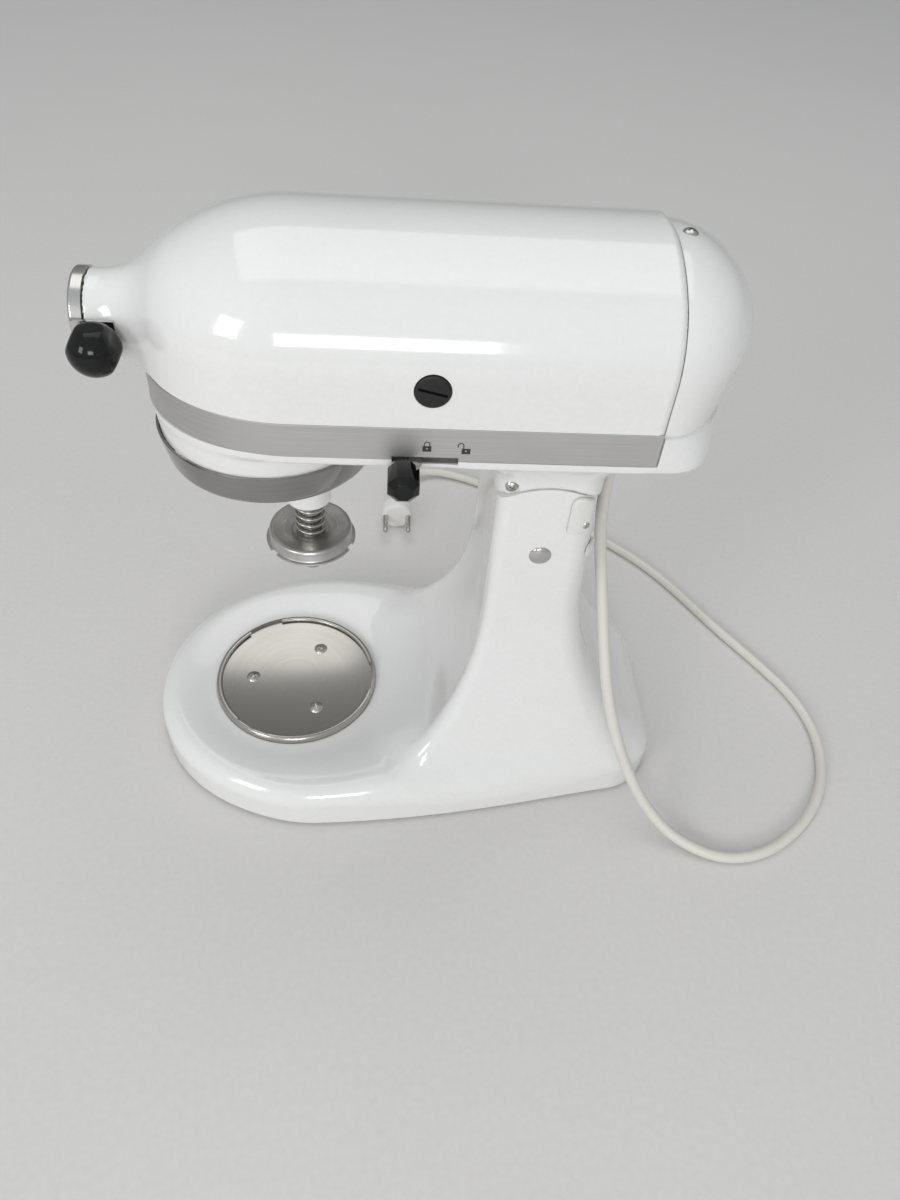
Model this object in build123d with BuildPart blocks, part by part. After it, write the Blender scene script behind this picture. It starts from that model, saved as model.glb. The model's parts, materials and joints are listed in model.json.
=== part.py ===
"""Tilt-head stand mixer as an assembly of separate pieces. Millimetres, +Z up, nose towards -X.

The origin is on the floor, under the middle of the machine.
"""

import math
import os

from build123d import *

os.makedirs("parts", exist_ok=True)

# Overall sizes
HEIGHT = 353.0
BASE_LENGTH = 332.0
BASE_WIDTH = 194.0
HEAD_WIDTH = 121.0

# Fits
SEAT_CLEARANCE = 0.02
RUNNING_CLEARANCE = 0.05
SLIDING_CLEARANCE = 0.4
SEAM_GAP = 0.4
SHAFT_END_GAP = 0.2

# Pedestal casting
FOOT_LIFT = 2.0
BASE_RIM_Z = 31.0
BASE_RIM_ROUND = 12.0
BASE_REAR_HALF = 70.0
BASE_REAR_RADIUS = 34.0
BASE_WALL = 6.0
DISH_Z = 27.0
DISH_MARGIN = 6.0
DISH_SLOPE = 14.0
FLARE_FOOT_Z = 30.0
FLARE_TOP_Z = 166.0
FLARE_START_Z = 26.0
COLUMN_TOP_Z = 246.0
COLUMN_HALF = 45.0
COLUMN_FRONT_X = 40.0
COLUMN_REAR_X = 97.0
COLUMN_LEAN = 0.05
COLUMN_CORNER = 14.0
FLARE_HALF = 79.0
FLARE_REAR_HALF = 66.0
FLARE_FRONT_X = -10.0
FLARE_REAR_X = 157.0
FLARE_CORNER = 24.0
FRONT_FLARE_POWER = 2.6
REAR_FLARE_POWER = 2.0
SIDE_FLARE_POWER = 2.2
CORNER_FLARE_POWER = 2.0
COLUMN_LEVELS = (38.0, 52.0, 70.0, 92.0, 120.0, 166.0, 206.0)
COLUMN_WALL = 6.0
REAR_OPENING_Z = 196.0
REAR_OPENING_HALF = 32.0
REAR_OPENING_HEIGHT = 60.0

# Feet
FOOT_RADIUS = 8.0
FOOT_STEM_RADIUS = 3.0
FOOT_STEM_LENGTH = 10.0
FOOT_BOSS_RADIUS = 9.5
FOOT_EDGE = 14.0

# Bowl plate and the axis it shares with the planetary
BOWL_AXIS_X = -74.5
PLATE_RADIUS = 54.0
PLATE_TOP_Z = 32.0
PLATE_FLOOR = 1.6
PLATE_RING_WALL = 4.0
PLATE_LIP = 2.4
PLATE_LIP_HEIGHT = 1.6
PLATE_NOTCHES = 3
PLATE_NOTCH_WIDTH = 24.0
PLATE_SCREW_CIRCLE = 29.5
PLATE_SCREW_RADIUS = 2.4
PLATE_SCREW_HEAD_RADIUS = 4.6
PLATE_SCREW_HEAD_HEIGHT = 1.8
PLATE_SCREW_LENGTH = 9.0

# Hinge
HINGE_X = 67.0
HINGE_Z = 193.0
PIN_RADIUS = 6.0
PIN_DOME = 1.4
KNUCKLE_RADIUS = 45.0
KNUCKLE_GAP = 0.5
TONGUE_HALF_WIDTH = 30.0
TONGUE_HALF_DEPTH = 10.0
TONGUE_EYE_RADIUS = 14.0

# Guard at the rear top of the column
GUARD_FRONT_X = 77.0
GUARD_REAR_X = 100.0
GUARD_SIDE = 2.4
GUARD_FIT = 0.15
GUARD_LOW_Z = 190.0
GUARD_HIGH_Z = 230.0
GUARD_ROUND = 8.0
GUARD_SLANT_HEIGHT = 18.0
GUARD_SLANT_DEPTH = 8.0
GUARD_SCREW_RADIUS = 2.0
GUARD_SCREW_HEAD_RADIUS = 3.4
GUARD_SCREW_LENGTH = 7.0
GUARD_SCREW_X = 87.0
GUARD_SCREW_Z = 216.0

# Head cross-section
SHOULDER_DROP = 47.0
CROWN_RADIUS = 75.0
PARTING_Z = 266.0
HEAD_WALL = 3.5
DOME_X = -58.0
DOME_STRETCH = 1.2
SEAM_X = 110.0
SEAM_ROUND = 4.0

# Rear cover
COVER_INSET = 1.2
COVER_REAR_X = 156.0
COVER_LOW_Z = 281.5
COVER_WALL = 3.0
COVER_OPENING_X = 122.0
COVER_OPENING_HALF = 45.0

# Trim band
BAND_TOP_Z = 284.0
BAND_RECESS = 0.9
BAND_THICKNESS = 1.1
BAND_EDGE_GAP = 0.2
BAND_CUT_PROUD = 0.6

# Nose and attachment socket
HUB_Z = 300.0
NOSE_X = -150.0
NOSE_RADIUS = 19.5
NOSE_FLARE_START_X = -134.0
NOSE_FLARE_END_X = -117.0
NOSE_FLARE_RADIUS = 33.0
SOCKET_RADIUS = 15.6
SOCKET_END_X = -113.0

# Lower housing
LIP_Z = 257.0
LIP_INSET = 0.4
LOWER_WALL = 4.0
FLOOR_Z = 261.5
BOSS_TOP_RADIUS = 55.3
BOSS_LOW_RADIUS = 54.6
BOSS_LOW_Z = 247.5
GEAR_BORE_RADIUS = 48.0
BLOCK_TOP_Z = 243.0
BLOCK_LOW_Z = 216.0
BLOCK_FRONT_X = 39.5
BLOCK_REAR_X = 95.0
BLOCK_CORNER = 13.0
LOWER_REAR_X = 143.0
LIP_ROUND = 3.0
TUB_FRONT_X = 4.0
TUB_REAR_X = 126.0
TUB_HALF = 55.0
TUB_CORNER = 26.0
TUB_MIDDLE_Z = 249.0
TUB_MIDDLE_SHARE = 0.62
POCKET_WALL = 5.0

# Drip ring
DRIP_TOP_RADIUS = 56.4
DRIP_LOW_RADIUS = 53.0
DRIP_TOP_Z = 249.0
DRIP_LOW_Z = 231.5
DRIP_WALL = 1.2
DRIP_FLANGE = 3.0

# Planetary and beater shaft
ECCENTRICITY = 26.0
BEATER_DIRECTION = -45.0
PLANET_RADIUS = 47.0
PLANET_LOW_Z = 232.5
PLANET_TOP_Z = 246.5
PLANET_BOSS_RADIUS = 12.0
PLANET_BOSS_LOW_Z = 207.0
PLANET_ROUND = 3.0
BUSH_RADIUS = 12.0
CENTRE_SHAFT_RADIUS = 6.0
BEATER_SHAFT_RADIUS = 6.35
BEATER_PILOT_RADIUS = 5.2
BEATER_PILOT_LENGTH = 8.0
BEATER_LOW_Z = 158.0
BEATER_CHAMFER = 1.2
CROSS_PIN_Z = 171.0
CROSS_PIN_RADIUS = 2.4
CROSS_PIN_HALF = 11.0
DISC_RADIUS = 22.5
DISC_TOP_Z = 187.0
DISC_DEPTH = 8.0
DISC_WALL = 1.6
DISC_HOLLOW = 2.0
SPRING_WIRE_RADIUS = 0.75
SPRING_SHAFT_GAP = 0.6
SPRING_TURNS = 4
SPRING_GAP = 0.3

# Gear train
RING_TEETH = 54
PINION_TEETH = 18
RING_GEAR_LOW_Z = 248.5
RING_GEAR_HEIGHT = 9.0
PINION_HEIGHT = 8.0
CENTRE_GEAR_TEETH = 42
WHEEL_PINION_TEETH = 15
CENTRE_GEAR_Z = 268.0
CENTRE_GEAR_HEIGHT = 8.0
GEAR_PLATE_HEIGHT = 3.5
WHEEL_X = -40.0
WHEEL_PITCH_RADIUS = 20.0
WHEEL_TEETH = 24
WHEEL_HEIGHT = 8.0
WHEEL_SHAFT_RADIUS = 4.0
WORM_PITCH_RADIUS = 8.0
WORM_ROOT_RADIUS = 6.2
WORM_TURNS = 5
WORM_THREAD_FOOT = 1.1
WORM_THREAD_TIP = 0.5
BEVEL_TEETH = 16
BEVEL_RADIUS = 14.0
BEVEL_FACE = 6.0
HUB_SHAFT_RADIUS = 8.0
HUB_SHAFT_FRONT_X = -134.0
HUB_SQUARE = 9.6
HUB_SQUARE_DEPTH = 18.0
HUB_BUSH_FRONT_X = -128.0

# Motor
MOTOR_Z = 303.0
MOTOR_SHAFT_RADIUS = 4.0
MOTOR_SHAFT_FRONT_X = -62.0
MOTOR_SHAFT_REAR_X = 106.0
STATOR_FRONT_X = 22.0
STATOR_LENGTH = 46.0
STATOR_BORE = 27.5
ARMATURE_RADIUS = 26.8
ARMATURE_SLOTS = 12
ARMATURE_SLOT_DEPTH = 6.0
ARMATURE_SLOT_WIDTH = 3.0
COIL_LENGTH = 8.0
COIL_OUTER_RADIUS = 37.0
COIL_INNER_RADIUS = 29.0
COMMUTATOR_RADIUS = 12.0
COMMUTATOR_LENGTH = 16.0
COMMUTATOR_BARS = 18
COMMUTATOR_SLOT = 1.2
BRUSH_X = 4.0
BRUSH_HALF = 3.0
BRUSH_LENGTH = 22.0
BRUSH_GAP = 0.3
HOLDER_RADIUS = 7.0
HOLDER_START_Y = 16.0
BRUSH_CAP_RADIUS = 8.0
BRUSH_CAP_PROUD = 1.0
BRUSH_CAP_LENGTH = 9.0
BRUSH_CAP_CHAMFER = 0.6
COIN_SLOT_LENGTH = 13.0
COIN_SLOT_WIDTH = 2.0
COIN_SLOT_DEPTH = 1.6
FAN_X = 80.0
FAN_LENGTH = 9.0
FAN_RADIUS = 36.0
FAN_BLADES = 12
FAN_HUB_RADIUS = 10.0
FAN_WALL = 1.6
BEARING_RADIUS = 11.0
FRONT_BULKHEAD_X = -14.0
REAR_BULKHEAD_X = 98.0
BULKHEAD_THICKNESS = 6.0
BULKHEAD_INSET = 5.0
BULKHEAD_WINDOWS = 6
BULKHEAD_WINDOW_RADIUS = 9.0
BULKHEAD_WINDOW_CIRCLE = 28.0

# Levers
ARM_THICKNESS = 2.0
ARM_WIDTH = 7.0
ARM_LOW_Z = 264.6
LOCK_X = -2.5
LOCK_TRAVEL = 16.0
LOCK_SLOT_LEAD = 7.0
SLOT_INNER_Y = 50.0
SLOT_OUTER_Y = 70.0
SPEED_X = 2.0
SPEED_TRAVEL = 36.0
ARM_INNER_Y = 44.0
ARM_BEND_Y = 62.0
ARM_END_Y = 72.0
ARM_LEAN = 5.0
SLIDER_LENGTH = 10.0
SLIDER_WIDTH = 10.0
LEVER_KNOB_RADIUS = 7.8
LEVER_KNOB_FACES = 8
LEVER_KNOB_START_Y = 64.5
LEVER_KNOB_END_Y = 79.0
LEVER_KNOB_Z = 262.0
LEVER_KNOB_CHAMFER = 3.0

# Hub cap and ball knob
CAP_RADIUS = 20.0
CAP_THICKNESS = 6.0
CAP_PLUG_RADIUS = 15.2
CAP_PLUG_LENGTH = 3.0
CAP_GAP = 0.3
CAP_ROUND = 1.5
EAR_HALF = 7.0
EAR_THICKNESS = 1.6
EAR_END_X = -136.0
BALL_X = -143.0
BALL_RADIUS = 12.0
BALL_FACET = 10.8
BALL_FACES = 6
BALL_SEAT = 11.0
BALL_SCREW_RADIUS = 3.0
BALL_SCREW_TIP = 14.0

# Screws
SCREW_HEAD_HEIGHT = 1.6
SPOT_FACE_GAP = 0.4
COVER_SCREW_RADIUS = 2.2
COVER_SCREW_HEAD_RADIUS = 3.6
BLOCK_SCREW_X = 47.0
BLOCK_SCREW_Z = 238.0
BLOCK_SCREW_RADIUS = 2.4
BLOCK_SCREW_LENGTH = 7.0
CASE_SCREW_RADIUS = 2.2
CASE_SCREW_LENGTH = 18.0
CASE_SCREW_HEAD_RADIUS = 3.8
CASE_BOSS_RADIUS = 5.0
CASE_POST_X = -32.0
CASE_POST_Y = 52.5
CASE_POST_TOP_Z = 290.0
COVER_POST_X = 132.0
COVER_POST_Y = 25.0
COVER_SCREW_X = 117.0
COVER_SCREW_DROP = 3.2
COVER_SCREW_LENGTH = 8.0
COVER_SCREW_BORE = 20.0
COVER_TAB_DROP = 5.8
COVER_TAB_HALF = 6.0
BLOCK_SCREW_HEAD_RADIUS = 3.4
BLOCK_SCREW_SEAT_Y = -43.0

# Cord and plug
CORD_RADIUS = 3.5
CORD_FLOOR_Z = 3.6
RUN_SHARE = 0.45
END_RUN_SHARE = 0.85
GLAND_X = 104.0
GLAND_Y = -10.0
GLAND_TOP_RADIUS = 7.0
GLAND_TIP_RADIUS = 4.8
GLAND_TIP_Z = 232.0
GLAND_SHOULDER_Z = 243.0
PLUG_X = -6.0
PLUG_BACK_Y = 214.0
PLUG_LENGTH = 28.0
PLUG_RADIUS = 12.4
PLUG_NECK_RADIUS = 6.0
PLUG_SHOULDER = 12.0
PLUG_EDGE = 1.5
PLUG_PIN_RADIUS = 2.4
PLUG_PIN_LENGTH = 19.0
PLUG_PIN_SPACING = 9.5

CORD_ROUTE = [
    (GLAND_X, GLAND_Y, GLAND_TIP_Z),
    (GLAND_X, GLAND_Y, 206),
    (107, -15, 177),
    (112, -27, 148),
    (116, -44, 119),
    (121, -61, 91),
    (130, -75, 64),
    (142, -87, 39),
    (156, -98, 19),
    (173, -111, 7),
    (200, -124, CORD_FLOOR_Z),
    (228, -122, CORD_FLOOR_Z),
    (254, -108, CORD_FLOOR_Z),
    (276, -87, CORD_FLOOR_Z),
    (291, -60, CORD_FLOOR_Z),
    (297, -27, CORD_FLOOR_Z),
    (290, 6, CORD_FLOOR_Z),
    (271, 38, CORD_FLOOR_Z),
    (247, 73, CORD_FLOOR_Z),
    (227, 108, CORD_FLOOR_Z),
    (204, 142, CORD_FLOOR_Z),
    (172, 173, CORD_FLOOR_Z),
    (128, 207, CORD_FLOOR_Z),
    (78, 241, CORD_FLOOR_Z),
    (37, 259, CORD_FLOOR_Z + 0.6),
    (11, 253, CORD_FLOOR_Z + 5),
    (PLUG_X, 232, PLUG_RADIUS),
    (PLUG_X, PLUG_BACK_Y, PLUG_RADIUS),
]
HANGING_POINTS = 10

# Sizes that follow from the driving ones
BASE_FRONT_RADIUS = BASE_WIDTH / 2
BASE_FRONT_X = -BASE_LENGTH / 2 + BASE_FRONT_RADIUS
BASE_REAR_X = BASE_LENGTH / 2
REAR_FOOT_STEP = (BASE_REAR_RADIUS - FOOT_EDGE) / math.sqrt(2)
REAR_FOOT_X = BASE_REAR_X - BASE_REAR_RADIUS + REAR_FOOT_STEP
REAR_FOOT_Y = BASE_REAR_HALF - BASE_REAR_RADIUS + REAR_FOOT_STEP
DISH_RADIUS = PLATE_RADIUS + DISH_MARGIN
DISH_RIM_RADIUS = DISH_RADIUS + DISH_SLOPE
HEAD_HALF = HEAD_WIDTH / 2
CROWN_CENTRE_Z = HEIGHT - CROWN_RADIUS
SHOULDER_Z = HEIGHT - SHOULDER_DROP
SHOULDER_RISE = SHOULDER_Z - CROWN_CENTRE_Z
SHOULDER_RADIUS = (CROWN_RADIUS**2 - HEAD_HALF**2 - SHOULDER_RISE**2) / (2 * (CROWN_RADIUS - HEAD_HALF))
SHOULDER_CENTRE = HEAD_HALF - SHOULDER_RADIUS
JOIN_ANGLE = math.degrees(math.atan2(SHOULDER_RISE, SHOULDER_CENTRE))
COVER_SCREW_SEAT_Z = HEIGHT - COVER_SCREW_DROP
COVER_TAB_TOP_Z = HEIGHT - COVER_TAB_DROP
COVER_STRETCH = (COVER_REAR_X - SEAM_X - SEAM_GAP) / (HEAD_HALF - COVER_INSET)
LOWER_STRETCH = (LOWER_REAR_X - SEAM_X) / HEAD_HALF
ARM_HIGH_Z = ARM_LOW_Z + ARM_THICKNESS
SLOT_LOW_Z = ARM_LOW_Z - SLIDING_CLEARANCE
SLOT_HIGH_Z = ARM_HIGH_Z + SLIDING_CLEARANCE
BEATER_ANGLE = math.radians(BEATER_DIRECTION)
BEATER_X = BOWL_AXIS_X + ECCENTRICITY * math.cos(BEATER_ANGLE)
BEATER_Y = ECCENTRICITY * math.sin(BEATER_ANGLE)
RING_MODULE = 2 * ECCENTRICITY / (RING_TEETH - PINION_TEETH)
WHEEL_Y = WHEEL_PITCH_RADIUS + WORM_PITCH_RADIUS
TRAIN_CENTRES = math.hypot(WHEEL_X - BOWL_AXIS_X, WHEEL_Y)
TRAIN_MODULE = 2 * TRAIN_CENTRES / (CENTRE_GEAR_TEETH + WHEEL_PINION_TEETH)
TRAIN_ANGLE = math.degrees(math.atan2(WHEEL_Y, WHEEL_X - BOWL_AXIS_X))
WORM_LEAD = 2 * math.pi * WHEEL_PITCH_RADIUS / WHEEL_TEETH
WORM_TIP_RADIUS = WORM_PITCH_RADIUS + 0.3 * WORM_LEAD
STATOR_RADIUS = MOTOR_Z - FLOOR_Z - SLIDING_CLEARANCE
GEAR_PLATE_TOP_Z = FLOOR_Z + GEAR_PLATE_HEIGHT
RING_GEAR_TOP_Z = RING_GEAR_LOW_Z + RING_GEAR_HEIGHT
BEATER_TOP_Z = RING_GEAR_TOP_Z - 0.3
PINION_LOW_Z = RING_GEAR_LOW_Z + 0.5
SPRING_COIL_RADIUS = BEATER_SHAFT_RADIUS + SPRING_SHAFT_GAP + SPRING_WIRE_RADIUS
SPRING_LOW_Z = DISC_TOP_Z - DISC_HOLLOW + 2 * SPRING_WIRE_RADIUS
SPRING_HIGH_Z = PLANET_BOSS_LOW_Z - SPRING_WIRE_RADIUS - SPRING_GAP
SPRING_PITCH = (SPRING_HIGH_Z - SPRING_LOW_Z) / SPRING_TURNS
BEVEL_Z = HUB_Z - BEVEL_RADIUS
BEVEL_X = BOWL_AXIS_X - BEVEL_RADIUS


def finish(piece, name):
    """Label a piece and write it under its own name."""
    piece.label = name
    export_step(piece, f"parts/{name}.step")


def flare(z, top, foot, power):
    """A size of the column at height z: the foot value at the base, easing into the top value."""
    share = (FLARE_TOP_Z - z) / (FLARE_TOP_Z - FLARE_FOOT_Z)
    return top + (foot - top) * max(share, 0.0) ** power


def rod(start, end, radius):
    """Plain cylinder from one point to another."""
    run = Vector(end) - Vector(start)
    with BuildPart() as body:
        with BuildSketch(Plane(origin=start, z_dir=run)):
            Circle(radius)
        extrude(amount=run.length)
    return body.part


def tube(start, end, outer, inner):
    """Plain sleeve from one point to another."""
    run = Vector(end) - Vector(start)
    with BuildPart() as body:
        with BuildSketch(Plane(origin=start, z_dir=run)):
            Circle(outer)
            Circle(inner, mode=Mode.SUBTRACT)
        extrude(amount=run.length)
    return body.part


def block(low, high):
    """Box between two opposite corners."""
    with BuildPart() as body:
        with Locations(low):
            Box(
                high[0] - low[0],
                high[1] - low[1],
                high[2] - low[2],
                align=(Align.MIN, Align.MIN, Align.MIN),
            )
    return body.part


def base_plan(inset):
    """Plan of the base: a round front and two rounded rear corners under one hull."""
    rear_centre_x = BASE_REAR_X - BASE_REAR_RADIUS
    rear_centre_y = BASE_REAR_HALF - BASE_REAR_RADIUS
    with BuildSketch() as plan:
        with Locations((BASE_FRONT_X, 0)):
            Circle(BASE_FRONT_RADIUS - inset)
        with Locations((rear_centre_x, rear_centre_y), (rear_centre_x, -rear_centre_y)):
            Circle(BASE_REAR_RADIUS - inset)
        make_hull()
    return plan.sketch


def column_plan(z, inset):
    """Plan of the column at height z: a four-sided outline with rounded corners."""
    lean = COLUMN_LEAN * max(z - FLARE_TOP_Z, 0.0)
    front = flare(z, COLUMN_FRONT_X, FLARE_FRONT_X, FRONT_FLARE_POWER) + inset
    rear = flare(z, COLUMN_REAR_X, FLARE_REAR_X, REAR_FLARE_POWER) - lean - inset
    front_half = flare(z, COLUMN_HALF, FLARE_HALF, SIDE_FLARE_POWER) - inset
    rear_half = flare(z, COLUMN_HALF, FLARE_REAR_HALF, SIDE_FLARE_POWER) - inset
    corner = flare(z, COLUMN_CORNER, FLARE_CORNER, CORNER_FLARE_POWER) - inset
    with BuildSketch() as plan:
        with BuildLine():
            Polyline(
                (front, -front_half),
                (rear, -rear_half),
                (rear, rear_half),
                (front, front_half),
                close=True,
            )
        make_face()
        fillet(plan.vertices(), corner)
    return plan.sketch


def column_solid(inset, low_z):
    """Lofted column, from inside the base to above the knuckle."""
    levels = [low_z, *COLUMN_LEVELS, COLUMN_TOP_Z]
    with BuildPart() as column:
        for level in levels:
            with BuildSketch(Plane.XY.offset(level)):
                add(column_plan(level, inset))
        loft()
    return column.part


def head_half_section(inset, low_z):
    """Half of the head's cross-section: crown arc, shoulder arc and straight side."""
    crown = CROWN_RADIUS - inset
    shoulder = SHOULDER_RADIUS - inset
    half = HEAD_HALF - inset
    with BuildSketch() as section:
        with BuildLine():
            CenterArc((0, CROWN_CENTRE_Z), crown, JOIN_ANGLE, 90 - JOIN_ANGLE)
            CenterArc((SHOULDER_CENTRE, SHOULDER_Z), shoulder, 0, JOIN_ANGLE)
            Polyline((half, SHOULDER_Z), (half, low_z), (0, low_z), (0, CROWN_CENTRE_Z + crown))
        make_face()
    return section.sketch


def head_section(inset, low_z):
    """Whole cross-section of the head."""
    with BuildSketch() as section:
        add(head_half_section(inset, low_z))
        mirror(about=Plane.YZ)
    return section.sketch


def head_dome(inset, low_z, stretch, x, turn):
    """Half dome: the head's half section turned about a vertical axis and stretched along X."""
    with BuildPart() as dome:
        with BuildSketch(Plane.YZ):
            add(head_half_section(inset, low_z))
        revolve(axis=Axis.Z, revolution_arc=180)
    stretched = scale(dome.part, by=(stretch, 1, 1), mode=Mode.PRIVATE)
    return Pos(x, 0, 0) * Rot(0, 0, turn) * stretched


def head_plan(half, rear_x):
    """Plan of the head: a half ellipse in front, straight sides and a square rear end."""
    with BuildSketch() as plan:
        with BuildLine():
            EllipticalCenterArc((DOME_X, 0), DOME_STRETCH * half, half, 90, arc_size=180)
            Polyline((DOME_X, -half), (rear_x, -half), (rear_x, half), (DOME_X, half))
        make_face()
    return plan.sketch


def lower_plan(half, start_x):
    """Plan of the lower housing from start_x: straight sides and the rear cover's half ellipse."""
    with BuildSketch() as plan:
        with BuildLine():
            EllipticalCenterArc((SEAM_X, 0), LOWER_STRETCH * half, half, -90, arc_size=180)
            Polyline((SEAM_X, half), (start_x, half), (start_x, -half), (SEAM_X, -half))
        make_face()
    return plan.sketch


def spur_sketch(teeth, module, bore, start_angle):
    """Spur gear with thin straight-sided teeth, one of them centred on start_angle."""
    pitch_radius = teeth * module / 2
    root = pitch_radius - 1.1 * module
    height = 1.8 * module
    pitch = math.pi * module
    with BuildSketch() as gear:
        Circle(root)
        with PolarLocations(root, teeth, start_angle):
            Polygon(
                (-0.3, -0.27 * pitch),
                (height, -0.1 * pitch),
                (height, 0.1 * pitch),
                (-0.3, 0.27 * pitch),
                align=None,
            )
        if bore > 0:
            Circle(bore, mode=Mode.SUBTRACT)
    return gear.sketch


def screw_head(radius, height, recess):
    """Pan head with a cross recess, standing on its own plane's origin and facing +Z."""
    with BuildPart() as head:
        Cylinder(radius, height, align=(Align.CENTER, Align.CENTER, Align.MIN))
        fillet(head.edges().group_by(Axis.Z)[-1], 0.4 * height)
        with BuildSketch(Plane.XY.offset(height)):
            Rectangle(1.3 * radius, 0.28 * radius)
            Rectangle(0.28 * radius, 1.3 * radius)
        extrude(amount=-recess, mode=Mode.SUBTRACT)
    return head.part


def screw(head_radius, head_height, shank_radius, shank_length):
    """Cross-head screw along -Z, its head seated on z = 0."""
    with BuildPart() as body:
        add(screw_head(head_radius, head_height, 0.5 * head_height))
        Cylinder(shank_radius, shank_length, align=(Align.CENTER, Align.CENTER, Align.MAX))
    return body.part


# Pedestal: base and column as one hollow casting
column_outside = column_solid(0.0, FLARE_START_Z)
column_inside = column_solid(COLUMN_WALL, FLARE_START_Z - 8)
foot_centres = [
    (BASE_FRONT_X - BASE_FRONT_RADIUS + FOOT_EDGE, 0),
    (BASE_FRONT_X, BASE_FRONT_RADIUS - FOOT_EDGE),
    (BASE_FRONT_X, -BASE_FRONT_RADIUS + FOOT_EDGE),
    (REAR_FOOT_X, REAR_FOOT_Y),
    (REAR_FOOT_X, -REAR_FOOT_Y),
]
with BuildPart() as plate_screw_places:
    with Locations((BOWL_AXIS_X, 0, DISH_Z)):
        with PolarLocations(PLATE_SCREW_CIRCLE, 3, 60):
            Cylinder(PLATE_SCREW_RADIUS, 24)

guard_side_y = -COLUMN_HALF - GUARD_SIDE
guard_screw_hole = rod(
    (GUARD_SCREW_X, guard_side_y - 1, GUARD_SCREW_Z),
    (GUARD_SCREW_X, guard_side_y + GUARD_SCREW_LENGTH + 1, GUARD_SCREW_Z),
    GUARD_SCREW_RADIUS,
)
with BuildPart() as above_knuckle:
    with BuildSketch(Plane.XZ.offset(-BASE_WIDTH)):
        with Locations((HINGE_X, HINGE_Z)):
            Rectangle(BASE_WIDTH, 2 * KNUCKLE_RADIUS, align=(Align.CENTER, Align.MIN))
            Circle(KNUCKLE_RADIUS, mode=Mode.SUBTRACT)
    extrude(amount=2 * BASE_WIDTH)

with BuildPart() as pedestal:
    with BuildSketch(Plane.XY.offset(FOOT_LIFT)):
        add(base_plan(0))
    extrude(amount=BASE_RIM_Z - FOOT_LIFT)
    fillet(pedestal.edges().group_by(Axis.Z)[-1], BASE_RIM_ROUND)
    fillet(pedestal.edges().group_by(Axis.Z)[0], 2)
    with Locations((BOWL_AXIS_X, 0, DISH_Z)):
        Cone(
            DISH_RADIUS,
            DISH_RIM_RADIUS,
            BASE_RIM_Z - DISH_Z,
            align=(Align.CENTER, Align.CENTER, Align.MIN),
            mode=Mode.SUBTRACT,
        )
    add(column_outside)
    with Locations((BOWL_AXIS_X, 0, DISH_Z)):
        Cylinder(
            PLATE_RADIUS + SEAT_CLEARANCE,
            PLATE_TOP_Z - DISH_Z + 1,
            align=(Align.CENTER, Align.CENTER, Align.MIN),
            mode=Mode.SUBTRACT,
        )
    with BuildSketch(Plane.XY.offset(FOOT_LIFT - 1)):
        add(base_plan(BASE_WALL))
    extrude(amount=DISH_Z - BASE_WALL - FOOT_LIFT + 1, mode=Mode.SUBTRACT)
    add(column_inside, mode=Mode.SUBTRACT)
    add(above_knuckle.part, mode=Mode.SUBTRACT)
    with Locations((COLUMN_REAR_X, 0, REAR_OPENING_Z)):
        Box(
            4 * COLUMN_WALL,
            2 * REAR_OPENING_HALF,
            REAR_OPENING_HEIGHT,
            align=(Align.CENTER, Align.CENTER, Align.MIN),
            mode=Mode.SUBTRACT,
        )
    with BuildSketch(Plane.XY.offset(FOOT_LIFT)):
        with Locations(*foot_centres):
            Circle(FOOT_BOSS_RADIUS)
    extrude(amount=DISH_Z - BASE_WALL - FOOT_LIFT + 1)
    with BuildSketch(Plane.XY.offset(FOOT_LIFT)):
        with Locations(*foot_centres):
            Circle(FOOT_STEM_RADIUS + SEAT_CLEARANCE)
    extrude(amount=FOOT_STEM_LENGTH, mode=Mode.SUBTRACT)
    with Locations((HINGE_X, 0, HINGE_Z)):
        Cylinder(PIN_RADIUS + SEAT_CLEARANCE, 2 * BASE_WIDTH, rotation=(90, 0, 0), mode=Mode.SUBTRACT)
    add(plate_screw_places.part, mode=Mode.SUBTRACT)
    add(guard_screw_hole, mode=Mode.SUBTRACT)
finish(pedestal.part, "pedestal")

with BuildPart() as feet:
    with BuildSketch(Plane.XY):
        with Locations(*foot_centres):
            Circle(FOOT_RADIUS)
    extrude(amount=FOOT_LIFT)
    with BuildSketch(Plane.XY.offset(FOOT_LIFT)):
        with Locations(*foot_centres):
            Circle(FOOT_STEM_RADIUS)
    extrude(amount=FOOT_STEM_LENGTH - 1)
finish(feet.part, "rubber_feet")

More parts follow.
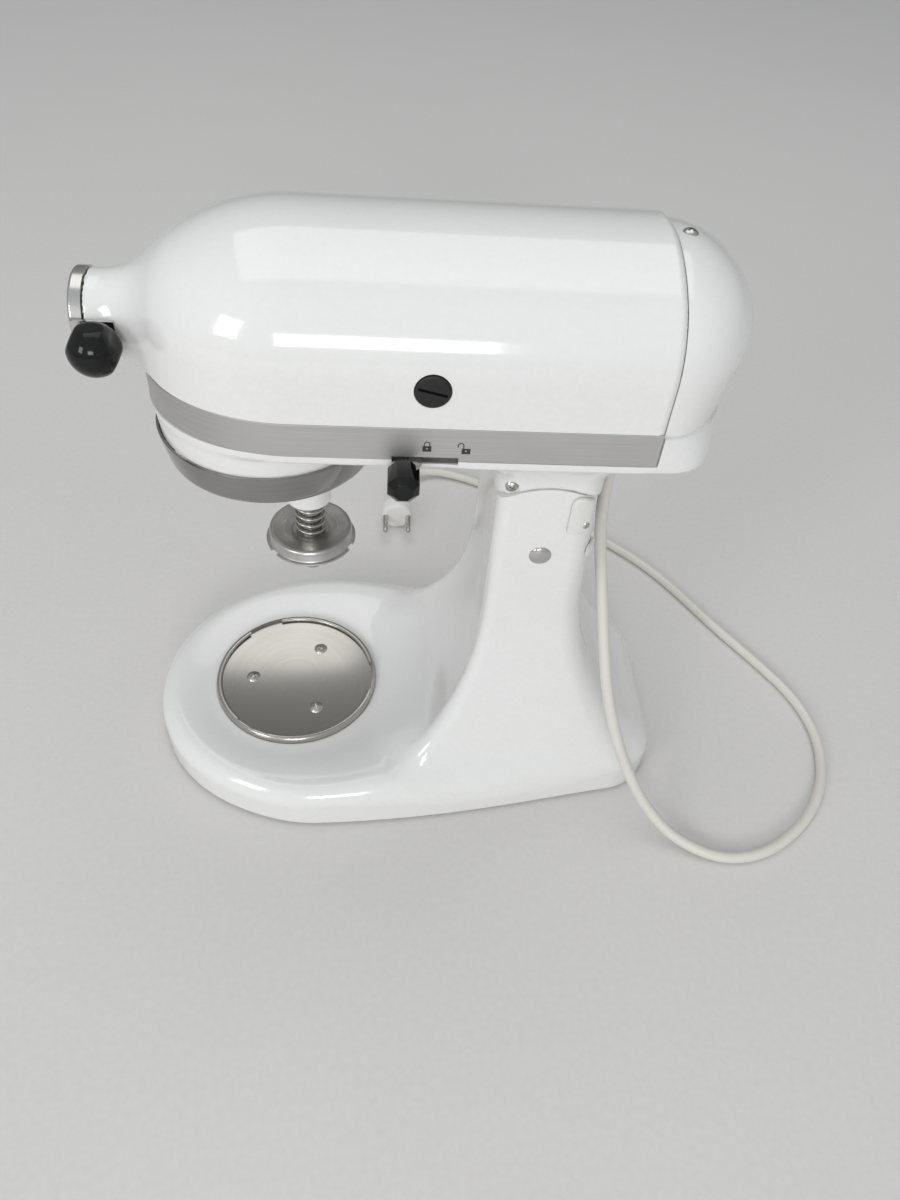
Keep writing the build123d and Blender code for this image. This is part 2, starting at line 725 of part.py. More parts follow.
# Bowl clamp plate with its bayonet ring
with BuildPart() as bowl_plate:
    with BuildSketch(Plane.XY.offset(DISH_Z)):
        with Locations((BOWL_AXIS_X, 0)):
            Circle(PLATE_RADIUS)
    extrude(amount=PLATE_TOP_Z - DISH_Z)
    fillet(bowl_plate.edges().group_by(Axis.Z)[-1], 1.2)
    with BuildSketch(Plane.XY.offset(DISH_Z + PLATE_FLOOR)):
        with Locations((BOWL_AXIS_X, 0)):
            Circle(PLATE_RADIUS - PLATE_RING_WALL + PLATE_LIP)
    extrude(amount=PLATE_TOP_Z - PLATE_LIP_HEIGHT - DISH_Z - PLATE_FLOOR, mode=Mode.SUBTRACT)
    with BuildSketch(Plane.XY.offset(DISH_Z + PLATE_FLOOR)):
        with Locations((BOWL_AXIS_X, 0)):
            Circle(PLATE_RADIUS - PLATE_RING_WALL)
    extrude(amount=PLATE_TOP_Z, mode=Mode.SUBTRACT)
    with BuildSketch(Plane.XY.offset(PLATE_TOP_Z - PLATE_LIP_HEIGHT - 0.2)):
        with Locations((BOWL_AXIS_X, 0)):
            with PolarLocations(PLATE_RADIUS - PLATE_RING_WALL, PLATE_NOTCHES):
                Rectangle(2 * PLATE_LIP, PLATE_NOTCH_WIDTH)
    extrude(amount=PLATE_LIP_HEIGHT + 1, mode=Mode.SUBTRACT)
    with Locations((BOWL_AXIS_X, 0, DISH_Z + PLATE_FLOOR)):
        with PolarLocations(PLATE_SCREW_CIRCLE, 3, 60):
            Hole(PLATE_SCREW_RADIUS + SEAT_CLEARANCE)
finish(bowl_plate.part, "bowl_clamp_plate")

plate_screw = screw(
    PLATE_SCREW_HEAD_RADIUS,
    PLATE_SCREW_HEAD_HEIGHT,
    PLATE_SCREW_RADIUS - SEAT_CLEARANCE,
    PLATE_SCREW_LENGTH,
)
with BuildPart() as plate_screws:
    with Locations((BOWL_AXIS_X, 0, DISH_Z + PLATE_FLOOR)):
        with PolarLocations(PLATE_SCREW_CIRCLE, 3, 60):
            add(plate_screw)
finish(plate_screws.part, "plate_screws")

# Hinge pin across the column, with domed bright ends
with BuildPart() as hinge_pin:
    with BuildSketch(Plane.XZ.offset(-COLUMN_HALF)):
        with Locations((HINGE_X, HINGE_Z)):
            Circle(PIN_RADIUS)
    extrude(amount=2 * COLUMN_HALF)
    for end in (1, -1):
        with BuildSketch(Plane.XZ.offset(end * COLUMN_HALF)):
            with Locations((HINGE_X, HINGE_Z)):
                Circle(PIN_RADIUS)
        extrude(amount=end * PIN_DOME, taper=35)
finish(hinge_pin.part, "hinge_pin")

# Guard that frames the rear opening of the column
with BuildPart() as rear_guard:
    with BuildSketch(Plane.XZ.offset(-COLUMN_HALF - GUARD_SIDE)) as guard_sketch:
        with BuildLine():
            Polyline(
                (GUARD_FRONT_X, GUARD_LOW_Z + GUARD_SLANT_HEIGHT),
                (GUARD_FRONT_X + GUARD_SLANT_DEPTH, GUARD_LOW_Z),
                (GUARD_REAR_X, GUARD_LOW_Z),
                (GUARD_REAR_X, GUARD_HIGH_Z),
                (GUARD_FRONT_X, GUARD_HIGH_Z),
                close=True,
            )
        make_face()
        fillet(guard_sketch.vertices().group_by(Axis.X)[0], GUARD_ROUND)
    extrude(amount=2 * (COLUMN_HALF + GUARD_SIDE))
    add(column_solid(-GUARD_FIT, FLARE_START_Z), mode=Mode.SUBTRACT)
    add(above_knuckle.part, mode=Mode.SUBTRACT)
    add(guard_screw_hole, mode=Mode.SUBTRACT)
    with Locations((COLUMN_REAR_X, 0, REAR_OPENING_Z)):
        Box(
            8 * COLUMN_WALL,
            2 * REAR_OPENING_HALF,
            REAR_OPENING_HEIGHT,
            align=(Align.CENTER, Align.CENTER, Align.MIN),
            mode=Mode.SUBTRACT,
        )
finish(rear_guard.part, "column_rear_guard")

guard_screw_shape = screw(
    GUARD_SCREW_HEAD_RADIUS,
    SCREW_HEAD_HEIGHT,
    GUARD_SCREW_RADIUS - SEAT_CLEARANCE,
    GUARD_SCREW_LENGTH,
)
with BuildPart() as guard_screw:
    add(Pos(GUARD_SCREW_X, guard_side_y, GUARD_SCREW_Z) * Rot(90, 0, 0) * guard_screw_shape)
finish(guard_screw.part, "guard_screw")

# Slots for the two levers, at the seam between the housings
lock_slot = block(
    (LOCK_X - ARM_WIDTH / 2 - LOCK_SLOT_LEAD, -SLOT_OUTER_Y, SLOT_LOW_Z),
    (LOCK_X + ARM_WIDTH / 2 + LOCK_TRAVEL + SLIDING_CLEARANCE, -SLOT_INNER_Y, SLOT_HIGH_Z),
)
speed_slot = block(
    (SPEED_X - ARM_WIDTH / 2 - SLIDING_CLEARANCE, SLOT_INNER_Y, SLOT_LOW_Z),
    (SPEED_X + ARM_WIDTH / 2 + SPEED_TRAVEL + SLIDING_CLEARANCE, SLOT_OUTER_Y, SLOT_HIGH_Z),
)
case_posts = [(CASE_POST_X, CASE_POST_Y), (CASE_POST_X, -CASE_POST_Y)]
cover_posts = [(COVER_POST_X, COVER_POST_Y), (COVER_POST_X, -COVER_POST_Y)]

# Upper housing with its nose, open below and behind
with BuildPart() as upper_housing:
    add(head_dome(0, PARTING_Z, DOME_STRETCH, DOME_X, 0))
    with BuildSketch(Plane.YZ.offset(DOME_X)):
        add(head_section(0, PARTING_Z))
    extrude(amount=SEAM_X - DOME_X)
    rear_edges = upper_housing.edges().group_by(Axis.X)[-1]
    fillet(rear_edges.filter_by(lambda edge: edge.center().Z > PARTING_Z + 1), SEAM_ROUND)
    with BuildSketch(Plane.XZ):
        with BuildLine():
            nose_side = Line((NOSE_X, HUB_Z + NOSE_RADIUS), (NOSE_FLARE_START_X, HUB_Z + NOSE_RADIUS))
            flare_end = (NOSE_FLARE_END_X, HUB_Z + NOSE_FLARE_RADIUS)
            TangentArc(nose_side @ 1, flare_end, tangent=nose_side % 1)
            Polyline(flare_end, (NOSE_FLARE_END_X, HUB_Z), (NOSE_X, HUB_Z), nose_side @ 0)
        make_face()
    revolve(axis=Axis((0, 0, HUB_Z), (1, 0, 0)))
    add(head_dome(HEAD_WALL, PARTING_Z - 1, DOME_STRETCH, DOME_X, 0), mode=Mode.SUBTRACT)
    with BuildSketch(Plane.YZ.offset(DOME_X)):
        add(head_section(HEAD_WALL, PARTING_Z - 1))
    extrude(amount=SEAM_X - DOME_X + 1, mode=Mode.SUBTRACT)
    add(rod((NOSE_FLARE_START_X, 0, HUB_Z), (SOCKET_END_X, 0, HUB_Z), NOSE_RADIUS))
    add(rod((NOSE_X - 1, 0, HUB_Z), (SOCKET_END_X + 1, 0, HUB_Z), SOCKET_RADIUS), mode=Mode.SUBTRACT)
    for post_x, post_y in case_posts:
        post_foot = (post_x, post_y, PARTING_Z + SEAM_GAP)
        add(rod(post_foot, (post_x, post_y, CASE_POST_TOP_Z), CASE_BOSS_RADIUS))
        hole_end = (post_x, post_y, LIP_Z + CASE_SCREW_LENGTH + 1)
        add(rod(post_foot, hole_end, CASE_SCREW_RADIUS), mode=Mode.SUBTRACT)
    add(
        block(
            (REAR_BULKHEAD_X + BULKHEAD_THICKNESS + SEAM_GAP, -COVER_TAB_HALF, COVER_TAB_TOP_Z - HEAD_WALL),
            (SEAM_X - 1, COVER_TAB_HALF, HEIGHT - HEAD_WALL),
        )
    )
    add(
        block(
            (REAR_BULKHEAD_X + BULKHEAD_THICKNESS + SEAM_GAP, -COVER_TAB_HALF, COVER_TAB_TOP_Z - HEAD_WALL),
            (COVER_SCREW_X + COVER_SCREW_HEAD_RADIUS, COVER_TAB_HALF, COVER_TAB_TOP_Z),
        )
    )
    add(
        rod((COVER_SCREW_X, 0, HEIGHT), (COVER_SCREW_X, 0, HEIGHT - COVER_SCREW_BORE), COVER_SCREW_RADIUS),
        mode=Mode.SUBTRACT,
    )
    with BuildSketch(Plane.XY.offset(PARTING_Z)):
        add(head_plan(HEAD_HALF + BAND_CUT_PROUD, SEAM_X + 5))
        add(head_plan(HEAD_HALF - BAND_RECESS, SEAM_X + 6), mode=Mode.SUBTRACT)
    extrude(amount=BAND_TOP_Z - PARTING_Z, mode=Mode.SUBTRACT)
    add(lock_slot, mode=Mode.SUBTRACT)
    add(speed_slot, mode=Mode.SUBTRACT)
    add(
        rod(
            (BRUSH_X, -HEAD_WIDTH, MOTOR_Z),
            (BRUSH_X, HEAD_WIDTH, MOTOR_Z),
            BRUSH_CAP_RADIUS + SEAT_CLEARANCE,
        ),
        mode=Mode.SUBTRACT,
    )
    add(
        rod(
            (BALL_X, -NOSE_RADIUS - 1, HUB_Z),
            (BALL_X, -BALL_SCREW_TIP, HUB_Z),
            BALL_SCREW_RADIUS + RUNNING_CLEARANCE,
        ),
        mode=Mode.SUBTRACT,
    )
finish(upper_housing.part, "upper_housing")

# Brushed band round the foot of the upper housing
with BuildPart() as trim_band:
    with BuildSketch(Plane.XY.offset(PARTING_Z + BAND_EDGE_GAP)):
        add(head_plan(HEAD_HALF - BAND_RECESS + BAND_THICKNESS, SEAM_X - 1))
        add(head_plan(HEAD_HALF - BAND_RECESS + SEAT_CLEARANCE, SEAM_X + 1), mode=Mode.SUBTRACT)
    extrude(amount=BAND_TOP_Z - PARTING_Z - 2 * BAND_EDGE_GAP)
    add(lock_slot, mode=Mode.SUBTRACT)
    add(speed_slot, mode=Mode.SUBTRACT)
finish(trim_band.part, "trim_band")

# Domed rear cover with a floor that rests on the lower housing
cover_x = SEAM_X + SEAM_GAP
with BuildPart() as rear_cover:
    add(head_dome(COVER_INSET, COVER_LOW_Z, COVER_STRETCH, cover_x, 180))
    add(
        head_dome(COVER_INSET + COVER_WALL, COVER_LOW_Z + COVER_WALL, COVER_STRETCH, cover_x, 180),
        mode=Mode.SUBTRACT,
    )
    add(
        block(
            (cover_x - 1, -COVER_OPENING_HALF, COVER_LOW_Z - 1),
            (COVER_OPENING_X, COVER_OPENING_HALF, COVER_LOW_Z + COVER_WALL + 1),
        ),
        mode=Mode.SUBTRACT,
    )
    for post_x, post_y in cover_posts:
        post_foot = (post_x, post_y, FLOOR_Z + SEAM_GAP)
        add(rod(post_foot, (post_x, post_y, COVER_LOW_Z + COVER_WALL), CASE_BOSS_RADIUS))
        hole_end = (post_x, post_y, LIP_Z + CASE_SCREW_LENGTH + 1)
        add(rod(post_foot, hole_end, CASE_SCREW_RADIUS), mode=Mode.SUBTRACT)
    add(
        rod(
            (COVER_SCREW_X, 0, COVER_SCREW_SEAT_Z),
            (COVER_SCREW_X, 0, HEIGHT),
            COVER_SCREW_HEAD_RADIUS + SPOT_FACE_GAP,
        ),
        mode=Mode.SUBTRACT,
    )
    add(
        rod((COVER_SCREW_X, 0, HEIGHT), (COVER_SCREW_X, 0, HEIGHT - COVER_SCREW_BORE), COVER_SCREW_RADIUS),
        mode=Mode.SUBTRACT,
    )
finish(rear_cover.part, "rear_cover")

cover_screw_shape = screw(
    COVER_SCREW_HEAD_RADIUS,
    SCREW_HEAD_HEIGHT,
    COVER_SCREW_RADIUS - SEAT_CLEARANCE,
    COVER_SCREW_LENGTH,
)
with BuildPart() as cover_screw:
    add(Pos(COVER_SCREW_X, 0, COVER_SCREW_SEAT_Z) * cover_screw_shape)
finish(cover_screw.part, "cover_screw")


def tub_plan(share):
    """Outline between the tub's mouth (0) and the pivot block (1), with rounded corners."""
    front = TUB_FRONT_X + (BLOCK_FRONT_X - TUB_FRONT_X) * share
    rear = TUB_REAR_X + (BLOCK_REAR_X - TUB_REAR_X) * share
    half = TUB_HALF + (COLUMN_HALF - TUB_HALF) * share
    corner = TUB_CORNER + (BLOCK_CORNER - TUB_CORNER) * share
    with BuildSketch() as plan:
        with Locations(((front + rear) / 2, 0)):
            RectangleRounded(rear - front, 2 * half, corner)
    return plan.sketch


with BuildPart() as tub:
    for level, share in ((LIP_Z + 1, 0.0), (TUB_MIDDLE_Z, TUB_MIDDLE_SHARE), (BLOCK_TOP_Z, 1.0)):
        with BuildSketch(Plane.XY.offset(level)):
            add(tub_plan(share))
    loft()

# Lower housing: lip, rear tray, boss for the drip ring and pivot block with its tongue
lower_half = HEAD_HALF - LIP_INSET
with BuildPart() as lower_housing:
    with BuildSketch(Plane.XY.offset(LIP_Z)):
        add(head_plan(lower_half, SEAM_X))
        add(lower_plan(lower_half, SEAM_X - 1))
    extrude(amount=PARTING_Z - LIP_Z)
    fillet(lower_housing.edges().group_by(Axis.Z)[0], LIP_ROUND)
    with BuildSketch(Plane.XY.offset(PARTING_Z - 1)):
        add(lower_plan(lower_half, SEAM_X - 1))
    extrude(amount=COVER_LOW_Z - PARTING_Z + 1)
    add(
        block((SEAM_X - 2, -HEAD_WIDTH, PARTING_Z), (cover_x, HEAD_WIDTH, COVER_LOW_Z + 1)),
        mode=Mode.SUBTRACT,
    )
    add(tub.part)
    with BuildSketch(Plane.XY.offset(BLOCK_LOW_Z)):
        add(tub_plan(1.0))
    extrude(amount=BLOCK_TOP_Z - BLOCK_LOW_Z)
    with BuildSketch(Plane.XY.offset(FLOOR_Z)):
        add(head_plan(lower_half - LOWER_WALL, SEAM_X))
        add(lower_plan(lower_half - LOWER_WALL, SEAM_X - 1))
    extrude(amount=COVER_LOW_Z - FLOOR_Z + 1, mode=Mode.SUBTRACT)
    with Locations((BOWL_AXIS_X, 0, BOSS_LOW_Z)):
        Cone(
            BOSS_LOW_RADIUS,
            BOSS_TOP_RADIUS,
            LIP_Z + 1 - BOSS_LOW_Z,
            align=(Align.CENTER, Align.CENTER, Align.MIN),
        )
    add(
        rod((BOWL_AXIS_X, 0, BOSS_LOW_Z - 1), (BOWL_AXIS_X, 0, RING_GEAR_TOP_Z + 0.1), GEAR_BORE_RADIUS),
        mode=Mode.SUBTRACT,
    )
    add(
        rod((BOWL_AXIS_X, 0, LIP_Z), (BOWL_AXIS_X, 0, FLOOR_Z + 1), BUSH_RADIUS + SEAT_CLEARANCE),
        mode=Mode.SUBTRACT,
    )
    add(
        rod((HINGE_X, -BASE_WIDTH, HINGE_Z), (HINGE_X, BASE_WIDTH, HINGE_Z), KNUCKLE_RADIUS + KNUCKLE_GAP),
        mode=Mode.SUBTRACT,
    )
    add(
        block(
            (HINGE_X - TONGUE_HALF_DEPTH, -TONGUE_HALF_WIDTH, HINGE_Z),
            (HINGE_X + TONGUE_HALF_DEPTH, TONGUE_HALF_WIDTH, BLOCK_TOP_Z + 1),
        )
    )
    add(
        rod(
            (HINGE_X, -TONGUE_HALF_WIDTH, HINGE_Z),
            (HINGE_X, TONGUE_HALF_WIDTH, HINGE_Z),
            TONGUE_EYE_RADIUS,
        )
    )
    add(
        rod(
            (HINGE_X, -BASE_WIDTH, HINGE_Z),
            (HINGE_X, BASE_WIDTH, HINGE_Z),
            PIN_RADIUS + RUNNING_CLEARANCE,
        ),
        mode=Mode.SUBTRACT,
    )
    add(
        block(
            (BLOCK_FRONT_X + POCKET_WALL, -COLUMN_HALF + POCKET_WALL, BLOCK_TOP_Z + POCKET_WALL),
            (BLOCK_REAR_X - POCKET_WALL, COLUMN_HALF - POCKET_WALL, FLOOR_Z + 1),
        ),
        mode=Mode.SUBTRACT,
    )
    add(
        rod(
            (GLAND_X, GLAND_Y, GLAND_TIP_Z),
            (GLAND_X, GLAND_Y, FLOOR_Z + 1),
            GLAND_TOP_RADIUS + SEAT_CLEARANCE,
        ),
        mode=Mode.SUBTRACT,
    )
    for post_x, post_y in case_posts + cover_posts:
        add(
            rod((post_x, post_y, LIP_Z - 1), (post_x, post_y, FLOOR_Z + 1), CASE_SCREW_RADIUS),
            mode=Mode.SUBTRACT,
        )
    block_screw_start = (BLOCK_SCREW_X, BLOCK_SCREW_SEAT_Y, BLOCK_SCREW_Z)
    add(
        rod(
            block_screw_start,
            (BLOCK_SCREW_X, -BASE_WIDTH, BLOCK_SCREW_Z),
            BLOCK_SCREW_HEAD_RADIUS + SPOT_FACE_GAP,
        ),
        mode=Mode.SUBTRACT,
    )
    add(
        rod(
            block_screw_start,
            (BLOCK_SCREW_X, BLOCK_SCREW_SEAT_Y + BLOCK_SCREW_LENGTH + 1, BLOCK_SCREW_Z),
            BLOCK_SCREW_RADIUS,
        ),
        mode=Mode.SUBTRACT,
    )
    add(lock_slot, mode=Mode.SUBTRACT)
    add(speed_slot, mode=Mode.SUBTRACT)
finish(lower_housing.part, "lower_housing")

block_screw_shape = screw(
    BLOCK_SCREW_HEAD_RADIUS,
    SCREW_HEAD_HEIGHT,
    BLOCK_SCREW_RADIUS - SEAT_CLEARANCE,
    BLOCK_SCREW_LENGTH,
)
with BuildPart() as block_screw:
    add(Pos(block_screw_start) * Rot(90, 0, 0) * block_screw_shape)
finish(block_screw.part, "block_screw")

case_screw_shape = screw(
    CASE_SCREW_HEAD_RADIUS,
    SCREW_HEAD_HEIGHT,
    CASE_SCREW_RADIUS - SEAT_CLEARANCE,
    CASE_SCREW_LENGTH,
)
with BuildPart() as case_screws:
    for post_x, post_y in case_posts + cover_posts:
        add(Pos(post_x, post_y, LIP_Z) * Rot(180, 0, 0) * case_screw_shape)
finish(case_screws.part, "case_screws")

# Drip ring round the planetary, with an inward flange at its lower edge
with BuildPart() as drip_ring:
    with BuildSketch(Plane.XZ):
        with BuildLine():
            Polyline(
                (BOWL_AXIS_X + DRIP_TOP_RADIUS, DRIP_TOP_Z),
                (BOWL_AXIS_X + DRIP_LOW_RADIUS, DRIP_LOW_Z),
                (BOWL_AXIS_X + DRIP_LOW_RADIUS - DRIP_FLANGE, DRIP_LOW_Z),
                (BOWL_AXIS_X + DRIP_LOW_RADIUS - DRIP_FLANGE, DRIP_LOW_Z + DRIP_WALL),
                (BOWL_AXIS_X + DRIP_LOW_RADIUS - DRIP_WALL, DRIP_LOW_Z + DRIP_WALL),
                (BOWL_AXIS_X + DRIP_TOP_RADIUS - DRIP_WALL, DRIP_TOP_Z),
                close=True,
            )
        make_face()
    revolve(axis=Axis((BOWL_AXIS_X, 0, 0), (0, 0, 1)))
finish(drip_ring.part, "drip_ring")

# Gear plate that carries the gear train on the floor of the lower housing
with BuildPart() as gear_plate:
    with BuildSketch(Plane.XY.offset(FLOOR_Z)):
        add(head_plan(HEAD_HALF - BULKHEAD_INSET, FRONT_BULKHEAD_X + BULKHEAD_THICKNESS))
        with Locations((BOWL_AXIS_X, 0)):
            Circle(BUSH_RADIUS + SEAT_CLEARANCE, mode=Mode.SUBTRACT)
        with Locations((WHEEL_X, WHEEL_Y)):
            Circle(WHEEL_SHAFT_RADIUS + RUNNING_CLEARANCE, mode=Mode.SUBTRACT)
        with Locations(*case_posts):
            Circle(CASE_SCREW_RADIUS + SLIDING_CLEARANCE, mode=Mode.SUBTRACT)
    extrude(amount=GEAR_PLATE_HEIGHT)
finish(gear_plate.part, "gear_plate")

with BuildPart() as planetary_bush:
    add(
        tube(
            (BOWL_AXIS_X, 0, RING_GEAR_TOP_Z + 0.2),
            (BOWL_AXIS_X, 0, GEAR_PLATE_TOP_Z),
            BUSH_RADIUS,
            CENTRE_SHAFT_RADIUS + RUNNING_CLEARANCE,
        )
    )
finish(planetary_bush.part, "planetary_bush")

# Fixed ring gear with inward teeth, a gap of it facing the beater pinion
with BuildPart() as ring_gear:
    ring_pitch = math.pi * RING_MODULE
    ring_root = RING_TEETH * RING_MODULE / 2 + 1.1 * RING_MODULE
    with BuildSketch(Plane.XY.offset(RING_GEAR_LOW_Z)):
        with Locations((BOWL_AXIS_X, 0)):
            Circle(GEAR_BORE_RADIUS - SEAT_CLEARANCE)
            Circle(ring_root, mode=Mode.SUBTRACT)
            with PolarLocations(ring_root, RING_TEETH, BEATER_DIRECTION + 180 / RING_TEETH):
                Polygon(
                    (0.3, -0.27 * ring_pitch),
                    (0.3, 0.27 * ring_pitch),
                    (-1.8 * RING_MODULE, 0.1 * ring_pitch),
                    (-1.8 * RING_MODULE, -0.1 * ring_pitch),
                    align=None,
                )
    extrude(amount=RING_GEAR_HEIGHT)
finish(ring_gear.part, "ring_gear")

# Planetary: hub with its offset boss, centre shaft, centre gear and bevel gear
with BuildPart() as planetary_hub:
    add(rod((BOWL_AXIS_X, 0, PLANET_LOW_Z), (BOWL_AXIS_X, 0, PLANET_TOP_Z), PLANET_RADIUS))
    fillet(planetary_hub.edges().group_by(Axis.Z)[0], PLANET_ROUND)
    with BuildSketch(Plane.XY.offset(PLANET_BOSS_LOW_Z)):
        with Locations((BEATER_X, BEATER_Y)):
            Circle(PLANET_BOSS_RADIUS)
    extrude(amount=PLANET_TOP_Z - PLANET_BOSS_LOW_Z)
    fillet(planetary_hub.edges().group_by(Axis.Z)[0], PLANET_ROUND / 2)
    add(
        rod(
            (BEATER_X, BEATER_Y, PLANET_BOSS_LOW_Z - 1),
            (BEATER_X, BEATER_Y, PLANET_TOP_Z + 1),
            BEATER_SHAFT_RADIUS + RUNNING_CLEARANCE,
        ),
        mode=Mode.SUBTRACT,
    )
    add(
        rod(
            (BOWL_AXIS_X, 0, PLANET_LOW_Z + 2),
            (BOWL_AXIS_X, 0, PLANET_TOP_Z + 1),
            CENTRE_SHAFT_RADIUS + SEAT_CLEARANCE,
        ),
        mode=Mode.SUBTRACT,
    )
finish(planetary_hub.part, "planetary_hub")

with BuildPart() as centre_shaft:
    centre_shaft_low = (BOWL_AXIS_X, 0, PLANET_LOW_Z + 2)
    add(rod(centre_shaft_low, (BOWL_AXIS_X, 0, BEVEL_Z + BEVEL_FACE), CENTRE_SHAFT_RADIUS))
finish(centre_shaft.part, "centre_shaft")

with BuildPart() as centre_gear:
    with BuildSketch(Plane((BOWL_AXIS_X, 0, CENTRE_GEAR_Z))):
        add(spur_sketch(CENTRE_GEAR_TEETH, TRAIN_MODULE, CENTRE_SHAFT_RADIUS + SEAT_CLEARANCE, TRAIN_ANGLE))
    extrude(amount=CENTRE_GEAR_HEIGHT)
finish(centre_gear.part, "centre_gear")


def bevel_gear(start_angle, bore):
    """Bevel gear standing on z = 0, its pitch cone closing upwards at 45 degrees."""
    big_module = 2 * BEVEL_RADIUS / BEVEL_TEETH
    small_module = 2 * (BEVEL_RADIUS - BEVEL_FACE) / BEVEL_TEETH
    with BuildPart() as gear:
        with BuildSketch(Plane.XY):
            add(spur_sketch(BEVEL_TEETH, big_module, 0, start_angle))
        with BuildSketch(Plane.XY.offset(BEVEL_FACE)):
            add(spur_sketch(BEVEL_TEETH, small_module, 0, start_angle))
        loft(ruled=True)
        Cylinder(bore, 4 * BEVEL_FACE, mode=Mode.SUBTRACT)
    return gear.part


with BuildPart() as upright_bevel:
    add(Pos(BOWL_AXIS_X, 0, BEVEL_Z) * bevel_gear(180, CENTRE_SHAFT_RADIUS + SEAT_CLEARANCE))
finish(upright_bevel.part, "upright_bevel")

# Beater shaft with its pinion, cross pin, disc and spring
beater_plane = Plane(origin=(BEATER_X, BEATER_Y, 0), x_dir=(1, 0, 0), z_dir=(0, -1, 0))
beater_axis = Axis((BEATER_X, BEATER_Y, 0), (0, 0, 1))
pilot_end_z = BEATER_LOW_Z + BEATER_PILOT_LENGTH
cross_pin_start = (BEATER_X - CROSS_PIN_HALF, BEATER_Y, CROSS_PIN_Z)
cross_pin_end = (BEATER_X + CROSS_PIN_HALF, BEATER_Y, CROSS_PIN_Z)
with BuildPart() as beater_shaft:
    add(rod((BEATER_X, BEATER_Y, BEATER_LOW_Z), (BEATER_X, BEATER_Y, pilot_end_z), BEATER_PILOT_RADIUS))
    chamfer(beater_shaft.edges().group_by(Axis.Z)[0], BEATER_CHAMFER)
    add(rod((BEATER_X, BEATER_Y, pilot_end_z), (BEATER_X, BEATER_Y, BEATER_TOP_Z), BEATER_SHAFT_RADIUS))
    add(rod(cross_pin_start, cross_pin_end, CROSS_PIN_RADIUS + SEAT_CLEARANCE), mode=Mode.SUBTRACT)
finish(beater_shaft.part, "beater_shaft")

with BuildPart() as cross_pin:
    add(rod(cross_pin_start, cross_pin_end, CROSS_PIN_RADIUS))
finish(cross_pin.part, "beater_cross_pin")

with BuildPart() as beater_pinion:
    with BuildSketch(Plane((BEATER_X, BEATER_Y, PINION_LOW_Z))):
        add(spur_sketch(PINION_TEETH, RING_MODULE, BEATER_SHAFT_RADIUS + SEAT_CLEARANCE, BEATER_DIRECTION))
    extrude(amount=PINION_HEIGHT)
finish(beater_pinion.part, "beater_pinion")

with BuildPart() as beater_disc:
    disc_bore = BEATER_SHAFT_RADIUS + SEAT_CLEARANCE
    disc_round = 0.5 * DISC_DEPTH
    disc_flat = DISC_RADIUS - disc_round
    disc_low_z = DISC_TOP_Z - DISC_DEPTH
    inner_round = disc_round - DISC_WALL
    with BuildSketch(beater_plane):
        with BuildLine():
            Line((disc_bore, DISC_TOP_Z - DISC_HOLLOW), (disc_flat, DISC_TOP_Z))
            CenterArc((disc_flat, DISC_TOP_Z - disc_round), disc_round, 0, 90)
            Polyline(
                (DISC_RADIUS, DISC_TOP_Z - disc_round),
                (DISC_RADIUS, disc_low_z),
                (DISC_RADIUS - DISC_WALL, disc_low_z),
                (DISC_RADIUS - DISC_WALL, DISC_TOP_Z - disc_round),
            )
            CenterArc((disc_flat, DISC_TOP_Z - disc_round), inner_round, 0, 90)
            Polyline(
                (disc_flat, DISC_TOP_Z - DISC_WALL),
                (disc_bore, DISC_TOP_Z - DISC_HOLLOW - DISC_WALL),
                (disc_bore, DISC_TOP_Z - DISC_HOLLOW),
            )
        make_face()
    revolve(axis=beater_axis)
finish(beater_disc.part, "beater_disc")


def coil_point(turns):
    """Point of the spring's centre line after a number of turns from its foot."""
    angle = 2 * math.pi * turns
    along = SPRING_COIL_RADIUS * math.cos(angle)
    across = SPRING_COIL_RADIUS * math.sin(angle)
    return Vector(BEATER_X + along, BEATER_Y + across, SPRING_LOW_Z + SPRING_PITCH * turns)


def coil_direction(turns):
    """Unit direction of the spring's centre line after a number of turns."""
    angle = 2 * math.pi * turns
    along = -2 * math.pi * SPRING_COIL_RADIUS * math.sin(angle)
    across = 2 * math.pi * SPRING_COIL_RADIUS * math.cos(angle)
    return Vector(along, across, SPRING_PITCH).normalized()


with BuildPart() as beater_spring:
    with BuildLine() as spring_path:
        for quarter in range(4 * SPRING_TURNS):
            start = coil_point(quarter / 4)
            end = coil_point((quarter + 1) / 4)
            leaving = coil_direction(quarter / 4)
            arriving = coil_direction((quarter + 1) / 4)
            chord = end - start
            both = leaving + arriving
            spread = 2 * (1 - leaving.dot(arriving))
            root = math.sqrt(chord.dot(both) ** 2 + spread * chord.dot(chord))
            reach = (root - chord.dot(both)) / spread
            middle = (start + end + (leaving - arriving) * reach) * 0.5
            TangentArc(start, middle, tangent=leaving)
            TangentArc(middle, end, tangent=middle - start - leaving * reach)
    with BuildSketch(Plane(origin=coil_point(0), z_dir=coil_direction(0))):
        Circle(SPRING_WIRE_RADIUS)
    sweep()
finish(beater_spring.part, "beater_spring")
spring_points = [coil_point(SPRING_TURNS * step / 400) for step in range(401)]
apart = 400 // (2 * SPRING_TURNS)
spring_gap = min(
    (spring_points[far] - spring_points[near]).length
    for near in range(401)
    for far in range(near + apart, 401)
)
print("spring: least gap to itself", round(spring_gap - 2 * SPRING_WIRE_RADIUS, 2))

# Worm wheel on its upright shaft, with the pinion that drives the centre gear
with BuildPart() as wheel_shaft:
    add(
        rod(
            (WHEEL_X, WHEEL_Y, FLOOR_Z + SHAFT_END_GAP),
            (WHEEL_X, WHEEL_Y, MOTOR_Z + WHEEL_HEIGHT / 2 + 2),
            WHEEL_SHAFT_RADIUS,
        )
    )
finish(wheel_shaft.part, "wheel_shaft")

